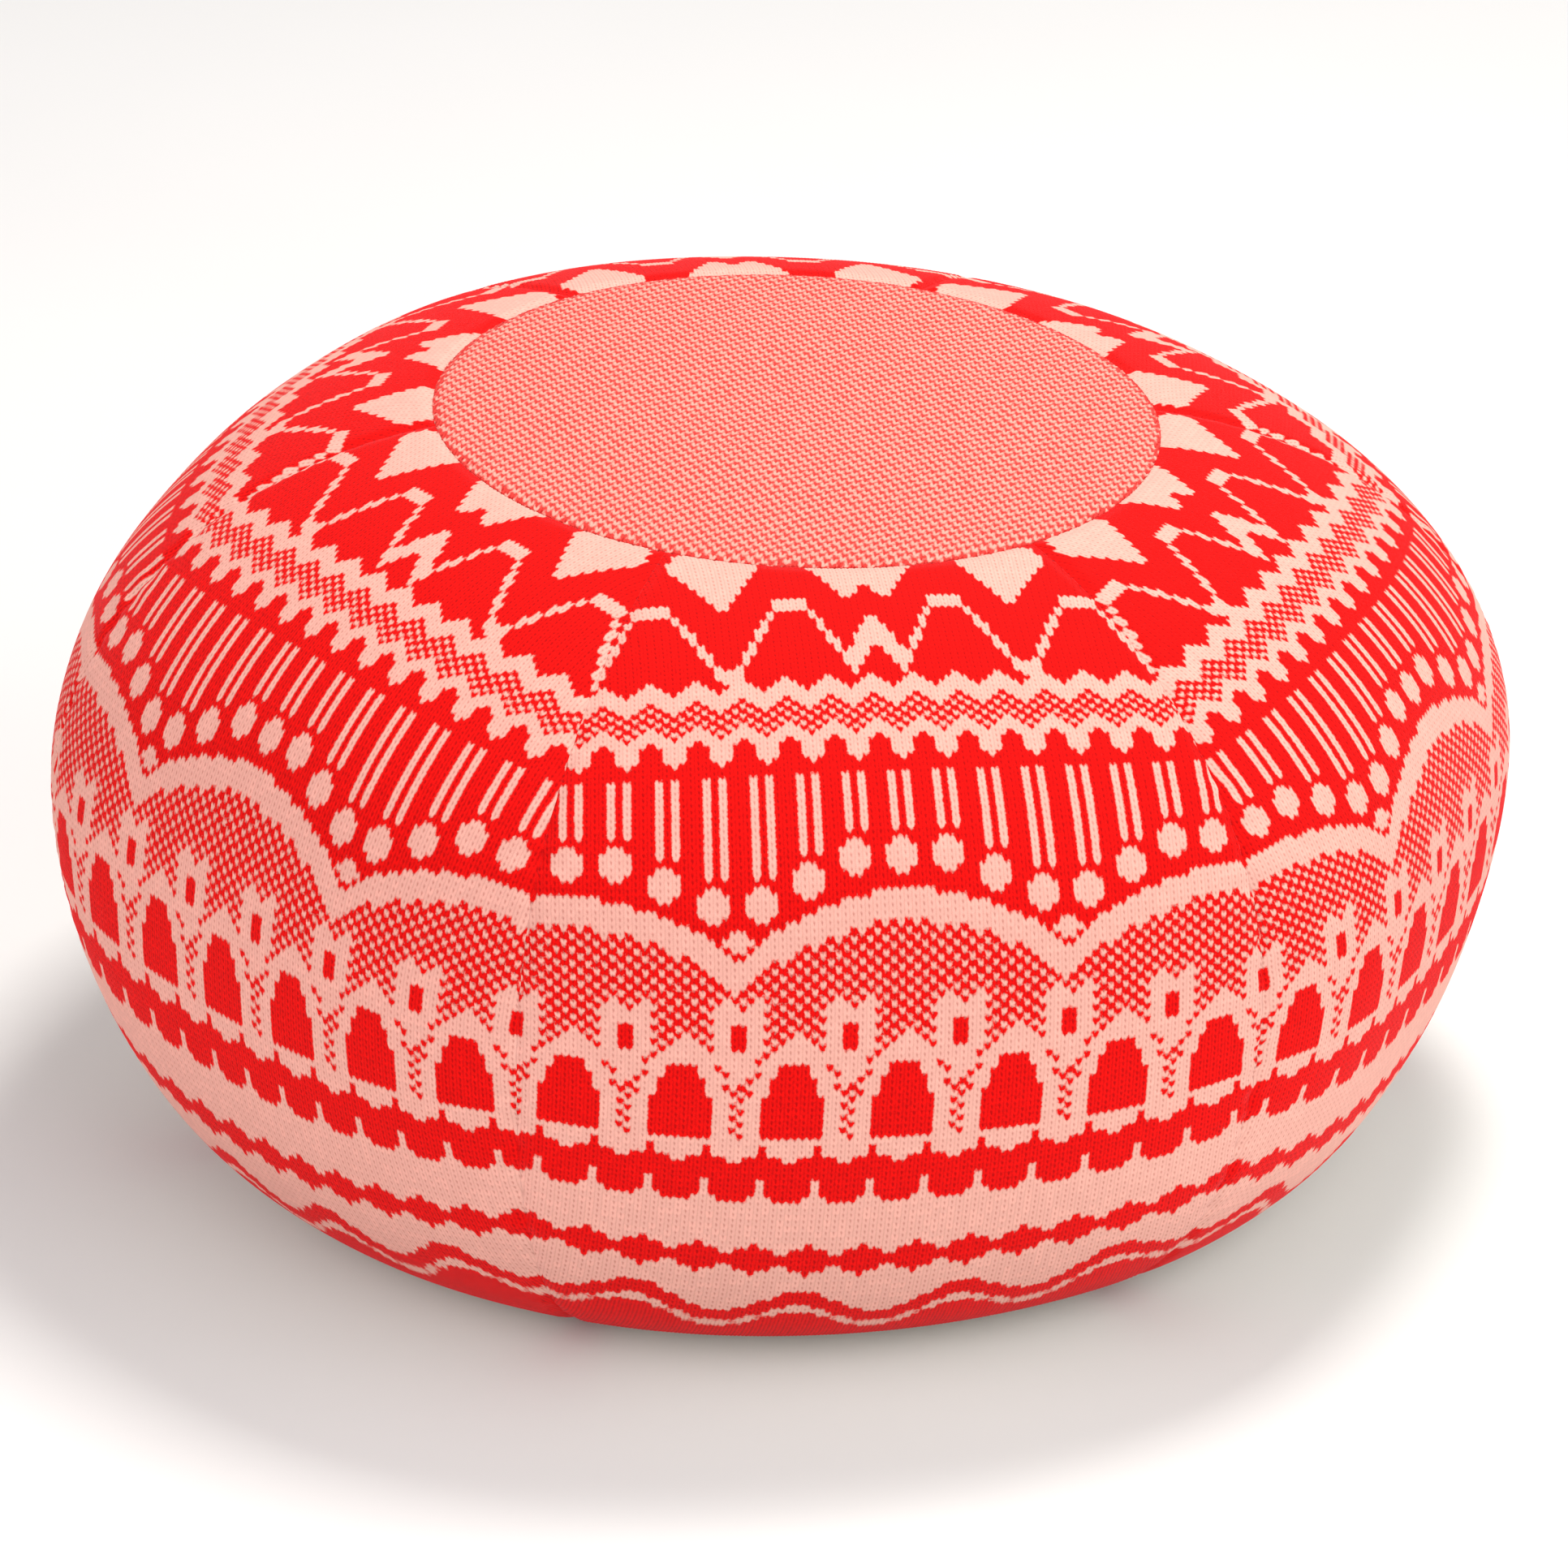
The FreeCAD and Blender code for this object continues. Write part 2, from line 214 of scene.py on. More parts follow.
# %% Helpers for the chart
def fold(place, period):
    """Distance from a place to the nearest repeat."""
    return np.abs((place + period / 2) % period - period / 2)


SCALLOP = 42
RIBBON = 6
ARCH = 14
PETAL = 7
WAVE = 21
WIDE = 8
NARROW = 6
NOTCH_ROW = 5
OVER_RIM_ROWS = 7
ZIGZAG_AT = [3.5, 9.5, 13.5, 20, 21]
ZIGZAG_ROW = [26, 10.5, 10.5, 26.5, 27]


def triangles(u, c):
    """Pale triangles that hang from the rim, wide ones with a notch and narrow ones in turn."""
    v = SCALLOP / 2 - u
    wide = c < np.minimum(2 * (WIDE - u), NOTCH_ROW + 1.7 * u)
    narrow = c < 2 * (NARROW - v)
    rounded = np.sqrt(np.clip(1 - (c / OVER_RIM_ROWS) ** 2, 0, 1))
    over_rim = (u < WIDE * rounded) | (v < NARROW * rounded)
    return np.where(c < 0, over_rim, wide | narrow)


def fine_zigzag(u, c):
    """A line two stitches thick that climbs between the triangles, and a small M under each wide one."""
    middle = np.interp(u, ZIGZAG_AT, ZIGZAG_ROW)
    line = (np.abs(c - middle) <= np.where((u > 9) & (u < 14), 1.0, 1.4)) & (u > 3.4)
    letter = (c >= 13 + 2.2 * u) & (c <= 20 + 1.8 * u) & (c <= 27 - 2.67 * (u - 3.5))
    return line | letter


# %% Ribbon, lines and dots
RIBBON_ROW = 27
EDGE_ROWS = 3
CHECK_ROWS = 6
LINES_ROW = 46
DOT_ROW = 58.5
DOT_FALL = 3
VALLEY_DOT_ROW = 69.5


def ribbon(wale, c):
    """Two small zigzags; True is pale. Between them the stitches alternate."""
    place = (wale + 1) % RIBBON
    step = np.abs((place + 1 + RIBBON / 2) % RIBBON - RIBBON / 2)
    row = c - RIBBON_ROW
    upper = (row >= step) & (row < EDGE_ROWS + step)
    below = row >= EDGE_ROWS + CHECK_ROWS + step
    lower = below & (row < 2 * EDGE_ROWS + CHECK_ROWS + step)
    checked = ~below & (row >= EDGE_ROWS + step)
    foot = ((place == 2) & (row >= 15) & (row < 17.5)) | (np.isin(place, (1, 3)) & (row >= 14) & (row < 16))
    return upper | lower | foot, checked, below


def dots(x, c):
    """Round dots, four stitches wide, that follow the scallops, with one small dot in each valley."""
    nearest = RIBBON * np.round(x / RIBBON)
    middle = DOT_ROW + DOT_FALL * np.maximum(0, (fold(nearest, SCALLOP) - RIBBON) / RIBBON)
    across = np.abs(x - nearest)
    dot = ((across < 1) & (np.abs(c - middle) <= 2.5)) | ((across < 2) & (np.abs(c - middle) <= 1.5))
    valley = SCALLOP / 2 - fold(x, SCALLOP)
    from_small = np.abs(c - VALLEY_DOT_ROW)
    small = ((valley < 1) & (from_small <= 1.6)) | ((valley < 2) & (from_small <= 0.6))
    return dot | small, middle


# %% Towers and arches
TOWER_ROW = 78
TOWER_STEPS = ((3, 0, 8), (2, 8, 10), (1, 8, 12))
ARCH_FOOT = 99
ARCH_STEPS = ((1, 83), (2, 84), (3, 85), (4, 86), (5, 89), (6, 92))
DOOR_STEPS = ((2, 87), (3, 89), (4, 92))


def towers(x, c):
    """Small towers with a window: pale walls, and the window's red."""
    v = fold(x - ARCH / 2, ARCH)
    row = c - TOWER_ROW
    wall = np.zeros(x.shape, bool)
    for width, top, end in TOWER_STEPS:
        wall |= (v < width) & (row >= top) & (row < end)
    wall &= ~((v < 1) & (row < 1))
    window = (v < 1) & (row >= 3) & (row < 7)
    return wall, window


def stepped(v, c, steps):
    """A shape that widens in steps: half its width in stitches, and the row where that starts."""
    shape = np.zeros(v.shape, bool)
    for width, top in steps:
        shape |= (v < width) & (c >= top)
    return shape & (c < ARCH_FOOT)


def arches(x, c):
    """Arches under the towers: pale outline, and the door's red."""
    v = fold(x, ARCH)
    return stepped(v, c, ARCH_STEPS), stepped(v, c, DOOR_STEPS)


# %% Scalloped bands
FIRST_BAND = 100
SECOND_BAND = 120
THIRD_BAND = 126
SCALLOP_ROW = 63
SCALLOP_RISE = 10
SCALLOP_EDGE = 4


def bands(x, c):
    """Pale ground with three red bands; True is pale."""
    petal = fold(x - PETAL / 2, PETAL) / (PETAL / 2)
    rise = np.sin(math.pi / 2 * petal)
    row = c - FIRST_BAND
    first = (row >= 3 * rise ** 0.8) & (row < 6.5 + 3.5 * rise ** 0.6)
    second = np.abs(c - SECOND_BAND) <= 2.5 - 1.5 * petal
    wave = THIRD_BAND + 2.5 * (1 - np.cos(2 * math.pi * (x - WAVE / 2) / WAVE))
    third = (c >= wave) & (np.abs(c - wave - 4) >= 0.8)
    return ~(first | second | third)


# %% The whole chart of a gore
def gore_chart(wale, course):
    """Which yarn each stitch shows: 1 is pale, 0 is red."""
    x = wale + 0.5
    c = course + 0.5
    u = fold(x, SCALLOP)
    checked = (wale + course) % 2 == 0
    zigzag = fine_zigzag(u, c) & (c < RIBBON_ROW + 1)
    pale = np.where(c < RIBBON_ROW, triangles(u, c) | zigzag, zigzag)
    zigzags, between, below = ribbon(wale, c)
    pale = np.where(between, checked, pale | zigzags)
    dot, dot_middle = dots(x, c)
    place = (wale + 1) % RIBBON
    lines = ((place == 0) | (place == 2)) & (c >= LINES_ROW) & (c < dot_middle - 3.5)
    pale = np.where(below, zigzags | dot | lines, pale)
    edge = SCALLOP_ROW + SCALLOP_RISE * (1 - (1 - (u / (SCALLOP / 2)) ** 1.6) ** 0.7)
    pale = np.where(c >= edge, True, pale)
    pale = np.where(c >= edge + SCALLOP_EDGE, checked, pale)
    wall, window = towers(x, c)
    outline, door = arches(x, c)
    pale = (pale | wall | outline) & ~window & ~door
    return np.where(c >= ARCH_FOOT, bands(x, c), pale)


# %% [markdown]
# ## The shape of a stitch
#
# A knitted stitch is a V of two legs of yarn. Eight small faces draw it: four across and two along. The
# corners between stitches hang half a row lower in the middle than at the sides, so the colours meet in
# the same small points as in real knitting. Where two rows meet, a small pit lies between the legs. The
# legs stand only 0.4 mm proud, because felting has swollen the wool and closed the gaps.

# %% Stitch relief
FACES_ACROSS = 4
FACES_ALONG = 2
LEG_SLANT = 0.5
LEG_RELIEF = 0.00042
WHERE_ROWS_MEET = [0.40, 0.80, 0.00, 0.80]
ALONG_THE_LEGS = [0.45, 1.00, 0.65, 1.00]
stitch_relief = np.array([WHERE_ROWS_MEET, ALONG_THE_LEGS])


def stitch_grid(first_wale, last_wale, first_course, last_course, hidden_course):
    """Wale and course of every corner of the small faces, the relief there, and each face's stitch.

    From hidden_course on, where the cushion turns under itself, a stitch is one face long.
    """
    columns = np.arange((last_wale - first_wale) * FACES_ACROSS + 1)
    level = np.concatenate([np.arange(first_course, hidden_course, 1 / FACES_ALONG),
                            np.arange(hidden_course, last_course + 1.0)])
    wale = first_wale + columns / FACES_ACROSS
    slant = LEG_SLANT * np.abs(2 * (wale % 1.0) - 1)
    course = level[:, None] - slant[None, :]
    relief = stitch_relief[(level % 1 > 0).astype(int)][:, columns % FACES_ACROSS]
    relief[level >= hidden_course] = stitch_relief.mean(axis=0)[columns % FACES_ACROSS]
    face_wale = first_wale + columns[:-1] // FACES_ACROSS
    face_course = np.floor(level[:-1]).astype(int)
    return np.broadcast_to(wale, course.shape), course, relief, face_wale, face_course


def face_corners(index):
    """The four corners of every face of a grid, in the order that turns the face outwards."""
    return np.stack([index[:-1, :-1], index[1:, :-1], index[1:, 1:], index[:-1, 1:]], axis=-1)


# %% [markdown]
# ## One function makes any knitted panel
#
# All the knitted pieces are built the same way: points on a surface, faces between them, and three values
# that the material reads. "yarn" says how much pale wool lies round each corner, so that the border
# between two yarns is as soft as its hairs, "shade" gives each stitch its own slight tone, and "hollow"
# tells where the surface dips between two legs, where the material paints in shade. At the sewn edge the
# cloth turns inwards, as it does on the real cover where the seam allowance goes inside; that turned part
# is marked fully hollow, so it takes the darkest painted shade.

# %% Helpers for meshes
def renumber(faces, total):
    """Which points the faces use, and the faces with the unused points left out of the count."""
    used = np.zeros(total, bool)
    for face in faces:
        used[face] = True
    number = (np.cumsum(used) - 1).tolist()
    return used, [[number[corner] for corner in face] for face in faces]


def mesh_piece(name, points, faces):
    """Smooth object in the scene from points and faces."""
    mesh = bpy.data.meshes.new(name)
    mesh.from_pydata(points, [], faces)
    mesh.polygons.foreach_set("use_smooth", np.ones(len(mesh.polygons), bool))
    mesh.update()
    return into_scene(name, mesh)


def store(mesh, label, domain, values):
    """Values that the material reads from the mesh."""
    mesh.attributes.new(label, "FLOAT", domain).data.foreach_set("value", values.astype(np.float32))


# %% Knitted mesh
EDGE_TURN = 0.0026


def knitted_mesh(name, points, inward, corners, yarn, shade, hollow):
    """A mesh from numpy arrays; faces that shrank to a line at the edge are left out."""
    closed = [list(dict.fromkeys(face)) for face in corners.tolist()]
    keep = [number for number, face in enumerate(closed) if len(face) > 2]
    faces = [closed[number] for number in keep]
    starts = corners[keep].reshape(-1)
    ends = np.roll(corners[keep], -1, axis=1).reshape(-1)
    real = starts != ends
    starts, ends = starts[real], ends[real]
    key = np.minimum(starts, ends).astype(np.int64) * len(points) + np.maximum(starts, ends)
    _, first, count = np.unique(key, return_index=True, return_counts=True)
    border = first[count == 1]
    pairs = len(border)
    both_ends = np.concatenate([starts[border], ends[border]])
    border_points, border_index = np.unique(both_ends, return_inverse=True)
    below = len(points) + border_index
    faces += [[int(b), int(a), int(c), int(d)] for a, b, c, d in
              zip(starts[border], ends[border], below[:pairs], below[pairs:])]
    points = np.concatenate([points, points[border_points] + EDGE_TURN * inward[border_points]])
    # The turned-in edge is marked fully hollow, so the material paints its darkest shade there.
    hollow = np.concatenate([hollow, np.ones(len(border_points))])
    used, faces = renumber(faces, len(points))
    touching = np.bincount(corners[keep].reshape(-1), minlength=len(points))
    pale_around = np.bincount(corners[keep].reshape(-1), np.repeat(yarn[keep], 4), minlength=len(points))
    piece = mesh_piece(name, points[used].tolist(), faces)
    store(piece.data, "shade", "FACE", np.concatenate([shade[keep], np.zeros(pairs)]))
    store(piece.data, "yarn", "POINT", (pale_around / np.maximum(touching, 1))[used])
    store(piece.data, "hollow", "POINT", hollow[used])
    return piece


# %% [markdown]
# ## Stuffing gives the cover its shape
#
# A stuffed cover is never a perfect solid of revolution. Along a seam the cloth is drawn in by a
# millimetre or two and puckers slightly; the girth is a soft hexagon whose corners are the six seams; the
# fibre inside leaves broad, low lumps; and the whole cushion leans a little to one side. Each of these is
# a small move of the points along the surface's own direction, so that no stitch is lost.

# %% Soft shape
SEAM_VALLEY = 0.0016
SEAM_VALLEY_WIDTH = 0.0035
PUCKER = 0.0005
PUCKER_LENGTH = 0.013
PUCKER_REACH = 0.010
HEXAGON = 0.032
HEXAGON_BALANCE = 0.4
LUMP = 0.0014
LEAN = 0.050
SLIP = 0.033
OVER_FLOOR = 0.0003
LEAN_DIRECTION = np.array([math.cos(CAMERA_TURN), -math.sin(CAMERA_TURN)])
under_waist = slice(OUTLINE_STEPS, 2 * OUTLINE_STEPS)
FLOOR_ARC = np.interp(-FOOT_CENTRE, -profile_radius[under_waist], profile_arc[under_waist])


def lumps(points):
    """Broad uneven swells left by the filling, at a few wavelengths."""
    x, y, z = (points[..., axis] / 0.1 for axis in range(3))
    swell = np.sin(1.7 * x + 0.9 * y + 0.6) * np.cos(1.3 * z - 0.8 * x + 1.1)
    swell = swell + 0.7 * np.sin(2.6 * y - 1.9 * z + 2.3) * np.cos(1.1 * x + 0.4)
    return swell + 0.35 * np.sin(4.3 * x + 3.1 * z) * np.sin(3.7 * y - 1.0)


def stuffed(points):
    """Points of the plain round shape, moved to where they lie on the stuffed, leaning cushion.

    The girth becomes a soft hexagon, the upper part tips to one side and slips that way over the foot.
    """
    share = np.clip(points[..., 2] / CROWN_HEIGHT, 0, 1)
    azimuth = np.arctan2(points[..., 0], -points[..., 1])
    corner = (1 - np.cos(6 * azimuth)) / 2
    moved = points.copy()
    moved[..., :2] *= (1 + HEXAGON * (corner - HEXAGON_BALANCE) * np.sin(math.pi * share))[..., None]
    aside = moved[..., :2] @ LEAN_DIRECTION
    moved[..., :2] += SLIP * points[..., 2:] * LEAN_DIRECTION
    moved[..., 2] -= LEAN * aside * share * share
    return moved


def on_side(arc, turn, relief, gore_turn):
    """Points on the stuffed side, and the directions that point into the cushion."""
    radius = np.interp(arc, profile_arc, profile_radius)
    height = np.interp(arc, profile_arc, profile_height)
    out = -np.interp(arc, profile_arc, slope_up)
    up = np.interp(arc, profile_arc, slope_out)
    angle = turn + gore_turn
    direction = np.stack([out * np.sin(angle), -out * np.cos(angle), up], axis=-1)
    points = np.stack([radius * np.sin(angle), -radius * np.cos(angle), height], axis=-1)
    free = np.sin(math.pi * np.clip(arc / FLOOR_ARC, 0, 1))
    from_seam = (HALF_GORE - np.abs(turn)) * radius
    from_rim = np.minimum(arc, LIP_ARC - arc)
    valley = SEAM_VALLEY * np.exp(-(from_seam / SEAM_VALLEY_WIDTH) ** 2)
    rim_valley = SEAM_VALLEY * np.exp(-(from_rim / SEAM_VALLEY_WIDTH) ** 2)
    wrinkle = PUCKER * np.sin(2 * math.pi * arc / PUCKER_LENGTH) * np.exp(-from_seam / PUCKER_REACH) * free
    move = LUMP * lumps(points) * free + relief - np.maximum(valley, rim_valley) + wrinkle
    points = points + direction * move[..., None]
    points[..., 2] = np.maximum(points[..., 2], OVER_FLOOR)
    return stuffed(points), -direction


# %% [markdown]
# ## The six gores
#
# The grid of a gore is wider than the gore itself, like a length of knitting before it is cut. Corners
# of the grid that fall beyond a seam are drawn onto the seam, one point for each row, and those beyond
# the rim or the lip are drawn onto that edge, one point for each column. What lies wholly outside
# shrinks to nothing and is dropped. That is how half stitches appear at a cut edge of real knitting.

# %% Where every corner of a gore's grid goes
GORE_HALF_WALES = 53
EDGE_RELIEF = 0.6
HIDDEN_COURSE = 132
dice = np.random.default_rng(11)


def trim_grid(wale, course, relief):
    """Number the corners of the grid, and list arc, turn and relief of the numbered ones."""
    rows, columns = course.shape
    width = np.interp(course, course_table, half_width)
    turn = HALF_GORE * np.clip(wale / width, -1, 1)
    arc = arc_of(course, turn)
    outside = np.abs(wale) >= width
    above = (arc <= 0) & ~outside
    below = (arc >= LIP_ARC) & ~outside
    inside = ~(outside | above | below)
    index = np.zeros(course.shape, int)
    index[inside] = np.arange(inside.sum())
    total = int(inside.sum())
    arcs, turns, reliefs = [arc[inside]], [turn[inside]], [relief[inside]]
    level = course[:, 0] + LEG_SLANT
    seam_arc = np.clip(arc_of(level, HALF_GORE), 0, LIP_ARC)
    corner_row = np.where(seam_arc <= 0, np.argmax(seam_arc > 0) - 1, np.arange(rows))
    corner_row = np.where(seam_arc >= LIP_ARC, np.argmax(seam_arc >= LIP_ARC), corner_row)
    for side in (-1, 1):
        here = outside & (np.sign(wale) == side)
        index[here] = (total + np.broadcast_to(corner_row[:, None], course.shape))[here]
        arcs.append(seam_arc)
        turns.append(np.full(rows, side * HALF_GORE))
        reliefs.append(np.full(rows, EDGE_RELIEF))
        total += rows
    for beyond, edge in ((above, 0.0), (below, LIP_ARC)):
        crossing = np.argmin(np.where(inside, np.abs(arc - edge), 9.0), axis=0)
        index[beyond] = (total + np.broadcast_to(np.arange(columns), course.shape))[beyond]
        arcs.append(np.full(columns, edge))
        turns.append(turn[crossing, np.arange(columns)])
        reliefs.append(np.full(columns, EDGE_RELIEF))
        total += columns
    return index, np.concatenate(arcs), np.concatenate(turns), np.concatenate(reliefs)


# %% Knit one gore
def shown_yarn(wale, course):
    """Pale faces of the chart. A pale stitch alone among red ones loses its two upper tips to them."""
    pale = gore_chart(wale, course)
    alone = pale > 0
    for beside, above in ((-1, 0), (1, 0), (0, -1), (0, 1)):
        alone &= gore_chart(wale + beside, course + above) < 1
    tip = np.isin(np.arange(wale.shape[1]) % FACES_ACROSS, (0, FACES_ACROSS - 1))[None, :]
    upper = (np.arange(wale.shape[0]) % FACES_ALONG == 0)[:, None]
    return np.where(alone & tip & upper & (course < HIDDEN_COURSE), 0.0, pale)


def knit_gore(number):
    """Gore panel with its chart, turned to its place round the cushion."""
    wale, course, relief, face_wale, face_course = stitch_grid(
        -GORE_HALF_WALES, GORE_HALF_WALES, FIRST_COURSE, LAST_COURSE, HIDDEN_COURSE)
    index, arc, turn, relief = trim_grid(wale, course, relief)
    points, inward = on_side(arc, turn, LEG_RELIEF * relief, number * 2 * HALF_GORE)
    grid_wale, grid_course = np.meshgrid(face_wale, face_course)
    stitches = np.stack(np.broadcast_arrays(grid_wale, grid_course))
    tone = dice.normal(0, 1, (LAST_COURSE - FIRST_COURSE, 2 * GORE_HALF_WALES))
    shade = tone[stitches[1] - FIRST_COURSE, stitches[0] + GORE_HALF_WALES]
    pale = shown_yarn(stitches[0], stitches[1])
    return knitted_mesh("knit_gore_%d" % (number + 1), points, inward, face_corners(index).reshape(-1, 4),
                        pale.reshape(-1), shade.reshape(-1), 1 - relief)


gores = [knit_gore(number) for number in range(6)]
print("faces in one gore:", len(gores[0].data.polygons), "corners:", len(gores[0].data.vertices))

# %% [markdown]
# ## The two round panels
#
# The top and the base are cut from flat checked cloth, so their wales run straight across. The same
# stitch grid is laid over the circle, turned a little, and the corners beyond the edge are drawn in to
# the seam. Along the rim the linking yarn shows as a row of short red dashes.

# %% Round panels
PANEL_STITCH = 0.00315
PANEL_TURN = math.radians(-24.3)
DASH = 0.0064
DASH_ROW = 0.0022
DASH_GAP = 0.55
PANEL_LUMP = 0.5 * LUMP
PANEL_LUMP_SIZE = 1.6
LUMPS_FADE = 0.3
SEAM_DIP = 0.0014
SEAM_DIP_WIDTH = 0.004


def crown_height(radius):
    """Height of the top panel: highest in the middle, level with the gores at the rim."""
    rim_height = np.interp(0.0, profile_arc, profile_height)
    return CROWN_HEIGHT - (CROWN_HEIGHT - rim_height) * (radius / RIM_RADIUS) ** 2


def base_height(radius):
    """Height of the base panel: flat on the floor, then up to the lip beside the zip."""
    return GROOVE_HEIGHT * np.clip((radius - BASE_LIP + GROOVE_RUN) / GROOVE_RUN, 0, 1)


def knit_round_panel(name, edge, height_at, facing):
    """Checked round panel. facing is 1 for a panel that looks up and -1 for one that looks down."""
    half = int(edge / PANEL_STITCH) + 2
    wale, course, relief, face_wale, face_course = stitch_grid(-half, half, -half, half, half)
    across = wale * PANEL_STITCH
    along = -course * PANEL_STITCH * facing
    x = across * math.cos(PANEL_TURN) - along * math.sin(PANEL_TURN)
    y = across * math.sin(PANEL_TURN) + along * math.cos(PANEL_TURN)
    radius = np.hypot(x, y)
    inside = radius < edge
    pull = np.minimum(1.0, edge / np.maximum(radius, 1e-6))
    x, y, radius = x * pull, y * pull, radius * pull
    # Corners drawn in to the rim get no relief; that also marks them fully hollow, so the material paints
    # shade along the rim.
    relief = np.where(inside, relief, 0.0)
    dip = SEAM_DIP * np.exp(-((edge - radius) / SEAM_DIP_WIDTH) ** 2)
    points = np.stack([x, y, height_at(radius)], axis=-1)
    fade = np.clip((edge - radius) / (LUMPS_FADE * edge), 0, 1)
    rough = PANEL_LUMP * lumps(points * PANEL_LUMP_SIZE) * fade * (facing > 0)
    points[..., 2] += facing * (LEG_RELIEF * relief - dip) + rough
    points[..., 2] = np.maximum(points[..., 2], OVER_FLOOR)
    points = stuffed(points)
    inward = np.zeros_like(points)
    inward[..., 2] = -facing
    corners = face_corners(np.arange(x.size).reshape(x.shape)).reshape(-1, 4)
    corners = np.where(inside.reshape(-1)[corners].any(axis=1)[:, None], corners, 0)
    grid_wale, grid_course = np.meshgrid(face_wale, face_course)
    pale = (grid_wale + grid_course) % 2 == 1
    corner_radius = radius[:-1, :-1]
    round_rim = np.arctan2(y, x)[:-1, :-1] * edge / DASH
    pale &= (corner_radius < edge - DASH_ROW) | (round_rim % 1 > DASH_GAP)
    tone = dice.normal(0, 1, (2 * half, 2 * half))
    shade = tone[grid_course + half, grid_wale + half]
    return knitted_mesh(name, points.reshape(-1, 3), inward.reshape(-1, 3), corners,
                        pale.astype(float).reshape(-1), shade.reshape(-1), 1 - relief.reshape(-1))


crown = knit_round_panel("knit_crown", RIM_RADIUS, crown_height, 1)
base = knit_round_panel("knit_base", BASE_LIP, base_height, -1)
print("faces in the top panel:", len(crown.data.polygons), "and in the base:", len(base.data.polygons))

# %% [markdown]
# ## Inside the cover: seams
#
# Turn the cover inside out and each seam shows its two allowances, overlocked along their edges and
# pressed open. They are drawn as a flat band with a groove where the sewing line runs, and a thread rib
# every few millimetres. The band follows the same outline as the gores, a few millimetres deeper. The
# round seams are bands too, bent the other way.

# %% A closed band along a line
seam_section = np.array([(-1.0, 0.35), (-0.92, 0.0), (-0.5, 0.08), (-0.08, 0.0), (0.0, 0.3), (0.08, 0.0),
                         (0.5, 0.08), (0.92, 0.0), (1.0, 0.35), (0.9, 0.85), (0.0, 1.0), (-0.9, 0.85)])
seam_across, seam_down = seam_section.T
THREAD_STEP = 0.0028
ROWS_PER_THREAD = 3
RIB = 0.00035


def ring_points(radius, azimuth, height):
    """Points at a radius, an angle round the axis and a height."""
    radius, azimuth, height = np.broadcast_arrays(radius, azimuth, height)
    return np.stack([radius * np.cos(azimuth), radius * np.sin(azimuth), height], axis=-1)


def grid_piece(name, points, rows_close=False, columns_close=False, caps=False):
    """Piece from a grid of points; rows or columns may close on themselves, and ends may be capped."""
    rows, columns = points.shape[:2]
    index = np.arange(rows * columns).reshape(rows, columns)
    flat = points.reshape(-1, 3)
    one_place = np.ptp(points, axis=1).max(axis=1) < 1e-7
    index[one_place] = index[one_place][:, :1]
    if columns_close:
        index = np.concatenate([index, index[:, :1]], axis=1)
    if rows_close:
        index = np.concatenate([index, index[:1]], axis=0)
    faces = [list(dict.fromkeys(face)) for face in face_corners(index).reshape(-1, 4).tolist()]
    faces = [face for face in faces if len(face) > 2]
    if caps:
        faces += [index[0, :columns].tolist(), index[-1, :columns][::-1].tolist()]
    used, faces = renumber(faces, len(flat))
    return mesh_piece(name, flat[used].tolist(), faces)


def seam_rows(length):
    """Steps along a seam and the rib of thread at each."""
    count = int(length / THREAD_STEP * ROWS_PER_THREAD)
    along = np.linspace(0, 1, count)
    return along, RIB * np.cos(2 * math.pi * along * length / THREAD_STEP)


# %% Allowances of the gore seams
ALLOWANCE_TOP = 0.0032
ALLOWANCE_BOTTOM = 0.0058
ALLOWANCE_HALF_TURN = 0.5 * 0.018 / WAIST_RADIUS
THREAD_ROOM = 0.0004
SEAM_STARTS_IN = 0.008
SEAM_ENDS_PAST_FOOT = 0.010
EDGE_THREADS_FROM = 0.4


def under_cover(arc, azimuth, depth):
    """Point a given depth under the cover; azimuth runs from the front gore's middle."""
    radius = np.interp(arc, profile_arc, profile_radius) + np.interp(arc, profile_arc, slope_up) * depth
    height = np.interp(arc, profile_arc, profile_height) - np.interp(arc, profile_arc, slope_out) * depth
    return stuffed(np.stack([radius * np.sin(azimuth), -radius * np.cos(azimuth), height], axis=-1))


def sew_gore_seam(number):
    """Two pressed allowances with their overlock stitches, from the rim to the foot."""
    length = FLOOR_ARC + SEAM_ENDS_PAST_FOOT - SEAM_STARTS_IN
    along, rib = seam_rows(length)
    arc = (SEAM_STARTS_IN + along * length)[:, None]
    azimuth = (2 * number + 1) * HALF_GORE + ALLOWANCE_HALF_TURN * seam_across
    thickness = ALLOWANCE_BOTTOM - ALLOWANCE_TOP - 2 * THREAD_ROOM
    threads = np.outer(rib, (np.abs(seam_across) > EDGE_THREADS_FROM) * (seam_down - 0.5))
    points = under_cover(arc, azimuth, ALLOWANCE_TOP + THREAD_ROOM + thickness * seam_down + threads)
    return grid_piece("gore_seam_allowance_%d" % (number + 1), points, columns_close=True, caps=True)


gore_seams = [sew_gore_seam(number) for number in range(6)]


# %% Round seams
def sew_ring_seam(name, middle, half_width, low, high, start, sweep):
    """Flat overlocked band round the axis, over an arc or the full circle."""
    along, rib = seam_rows(middle * sweep)
    closed = sweep >= 2 * math.pi
    if closed:
        along, rib = along[:-1], rib[:-1]
    azimuth = (start + along * sweep)[:, None]
    height = high - (high - low) * seam_down + np.outer(rib, seam_down - 0.5)
    points = ring_points(middle + half_width * seam_across, azimuth, height)
    return grid_piece(name, stuffed(points)[:, ::-1], rows_close=closed, columns_close=True, caps=not closed)


